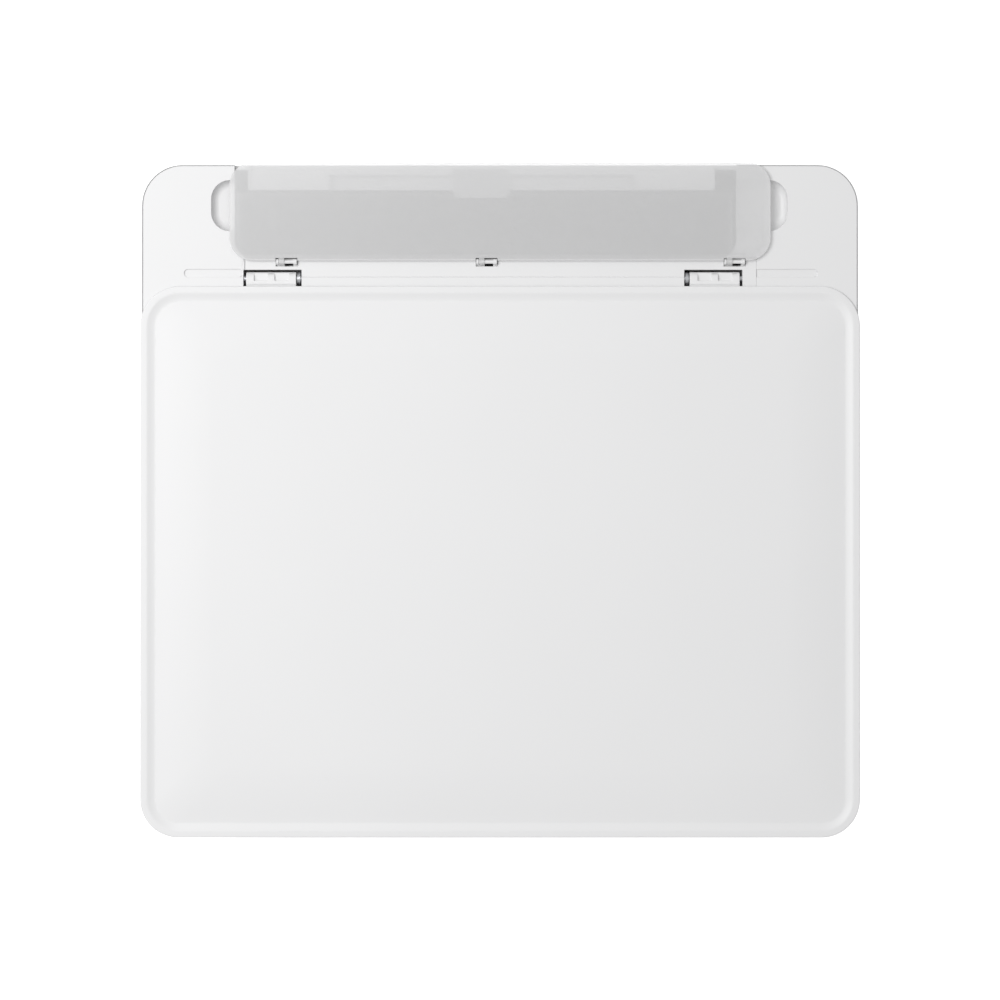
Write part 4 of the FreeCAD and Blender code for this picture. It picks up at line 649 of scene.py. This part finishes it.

# %% [markdown]
# ## Paper support details
# Through the flap a faint pattern shows on the paper support: a pull tab in the middle that a finger
# catches, and raised ribs that frame the two lowered panes beside it. The ribs take the tab's darker grey,
# so they are painted shade lines for the shade along the panes' edges. All are moulded in one with the
# support, so they ride with it as it slides out.

# %% Pull tab
SUPPORT_LOW, SUPPORT_HIGH = [Vector(corner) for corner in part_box("paper_support")]
SUPPORT_X = (SUPPORT_LOW.x + SUPPORT_HIGH.x) / 2
RAISED_LOW = SUPPORT_HIGH.z - 0.1 * MM
RAISE = 0.45 * MM
RAISED_HIGH = RAISED_LOW + RAISE
TAB_HALF = 15 * MM
TAB_CORNER = 3 * MM
TAB_FRONT = SUPPORT_HIGH.y - 17.0 * MM
TAB_REAR = SUPPORT_HIGH.y - 2.0 * MM
tab = new_box("pull_tab", (SUPPORT_X - TAB_HALF, TAB_FRONT, RAISED_LOW),
              (SUPPORT_X + TAB_HALF, TAB_REAR, RAISED_HIGH))
tab_edge = add_bevel(tab, 0.2 * MM, 2)
only(tab)
bpy.ops.object.mode_set(mode="EDIT")
select_edges(tab, lambda a, b: abs(a.z - b.z) > RAISE / 2)
bpy.ops.mesh.bevel(offset=TAB_CORNER, segments=6)
bpy.ops.object.mode_set(mode="OBJECT")
use(tab, tab_edge)
finish_piece(tab, TAB_AND_SHADE_LINES, "paper_support")

# %% Pane ribs
RIB = 0.9 * MM               # width of a rib
RIB_REAR = SUPPORT_HIGH.y - 5.8 * MM
RIB_LENGTH = 8 * MM          # of the short ribs at the panes' outer ends
PANE_NEAR = 16 * MM          # a pane's inner and outer end, from the support's middle
PANE_FAR = 79 * MM
ribs = []
for side in (-1, 1):
    near = SUPPORT_X + side * PANE_NEAR
    reach = SUPPORT_X + side * PANE_FAR
    ribs.append(new_box("rib", (min(near, reach), RIB_REAR, RAISED_LOW),
                        (max(near, reach), RIB_REAR + RIB, RAISED_HIGH)))
    ribs.append(new_box("rib_end", (reach - RIB / 2, RIB_REAR - RIB_LENGTH, RAISED_LOW),
                        (reach + RIB / 2, RIB_REAR + RIB, RAISED_HIGH)))
only(*ribs)
bpy.ops.object.join()
pane_ribs = bpy.context.object
pane_ribs.name = "pane_ribs"
# the ribs take the tab's darker grey: painted shade lines along the panes' edges
finish_piece(pane_ribs, TAB_AND_SHADE_LINES, "paper_support")

# %% [markdown]
# ## Document pad
# The white pad under the lid is a foam sheet glued to a backing. It presses the page flat, so it is soft:
# its edges are rolled far more than any plastic edge, and the real foam gives a little when the lid
# closes.

# %% Foam pad
PAD_LOW, PAD_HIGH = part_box("document_pad")
pad = new_box("foam_pad", PAD_LOW, PAD_HIGH)
pad_roll = add_bevel(pad, (PAD_HIGH[2] - PAD_LOW[2]) * 0.45, 5)
smooth(pad, 60)
use(pad, pad_roll)
finish_piece(pad, PAD, "document_lid", ["document_pad"])

# %% [markdown]
# ## Marks on the panel
# The panel's small screen shows a row of plain tiles over a bar, and each button carries one simple sign:
# a broken ring for power, a square for stop and a triangle for start. They are thin raised prints, so
# each is its own little mesh that moves with the piece it is printed on.

# %% Screen tiles
PRINT = 0.05 * MM            # thickness of a print
TILE = 9.0 * MM
SCREEN_LOW, SCREEN_HIGH = [Vector(corner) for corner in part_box("display_window")]
screen_middle = (SCREEN_LOW + SCREEN_HIGH) / 2
face = SCREEN_LOW.y
tiles = []
for step in (-1, 0, 1):
    x = screen_middle.x + step * TILE * 1.8
    low_corner = (x - TILE / 2, face - PRINT, screen_middle.z - TILE * 0.2)
    tiles.append(new_box("tile", low_corner, (x + TILE / 2, face, screen_middle.z + TILE * 0.8)))
bar_half = TILE * 2.3
tiles.append(new_box("tile_bar", (screen_middle.x - bar_half, face - PRINT, SCREEN_LOW.z + TILE * 0.4),
                     (screen_middle.x + bar_half, face, SCREEN_LOW.z + TILE * 0.7)))
only(*tiles)
bpy.ops.object.join()
screen_marks = bpy.context.object
screen_marks.name = "screen_tiles"
finish_piece(screen_marks, MARK, "control_panel")


# %% Button signs
def button_face(name):
    low_corner, high_corner = [Vector(corner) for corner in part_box(name)]
    middle = (low_corner + high_corner) / 2
    return Vector((middle.x, low_corner.y, middle.z))


def sign(name, sides, radius, turn):
    """A thin flat polygon printed on a button, its face to the front."""
    spot = button_face(name)
    bpy.ops.object.select_all(action="DESELECT")
    bpy.ops.mesh.primitive_cylinder_add(vertices=sides, radius=radius, depth=PRINT, location=spot,
                                        rotation=(math.radians(90), math.radians(turn), 0))
    made = bpy.context.object
    made.name = name + "_sign"
    settle(made)
    return finish_piece(made, BLACK, name)


TRIANGLE = 2.4 * MM          # radius of each sign
SQUARE = 2.2 * MM
RING = 2.0 * MM
STROKE = 0.3 * MM            # half the width of the ring and of its stroke
sign("start_button", 3, TRIANGLE, 90)
sign("stop_button", 4, SQUARE, 45)
spot = button_face("power_button")
bpy.ops.object.select_all(action="DESELECT")
bpy.ops.mesh.primitive_torus_add(major_radius=RING, minor_radius=STROKE, major_segments=40,
                                 minor_segments=6, location=spot, rotation=(math.radians(90), 0, 0))
ring = bpy.context.object
ring.name = "power_button_sign"
ring.scale = (1, 1, 0.2)
settle(ring)
bpy.ops.object.mode_set(mode="EDIT")
select_faces(ring, lambda centre, normal: abs(centre.x - spot.x) < RING * 0.45 and centre.z > spot.z)
bpy.ops.mesh.delete(type="FACE")
bpy.ops.object.mode_set(mode="OBJECT")
stroke = new_box("stroke", (spot.x - STROKE, spot.y - PRINT, spot.z + RING * 0.25),
                 (spot.x + STROKE, spot.y + PRINT, spot.z + RING * 1.3))
only(ring, stroke)
bpy.ops.object.join()
finish_piece(ring, BLACK, "power_button")
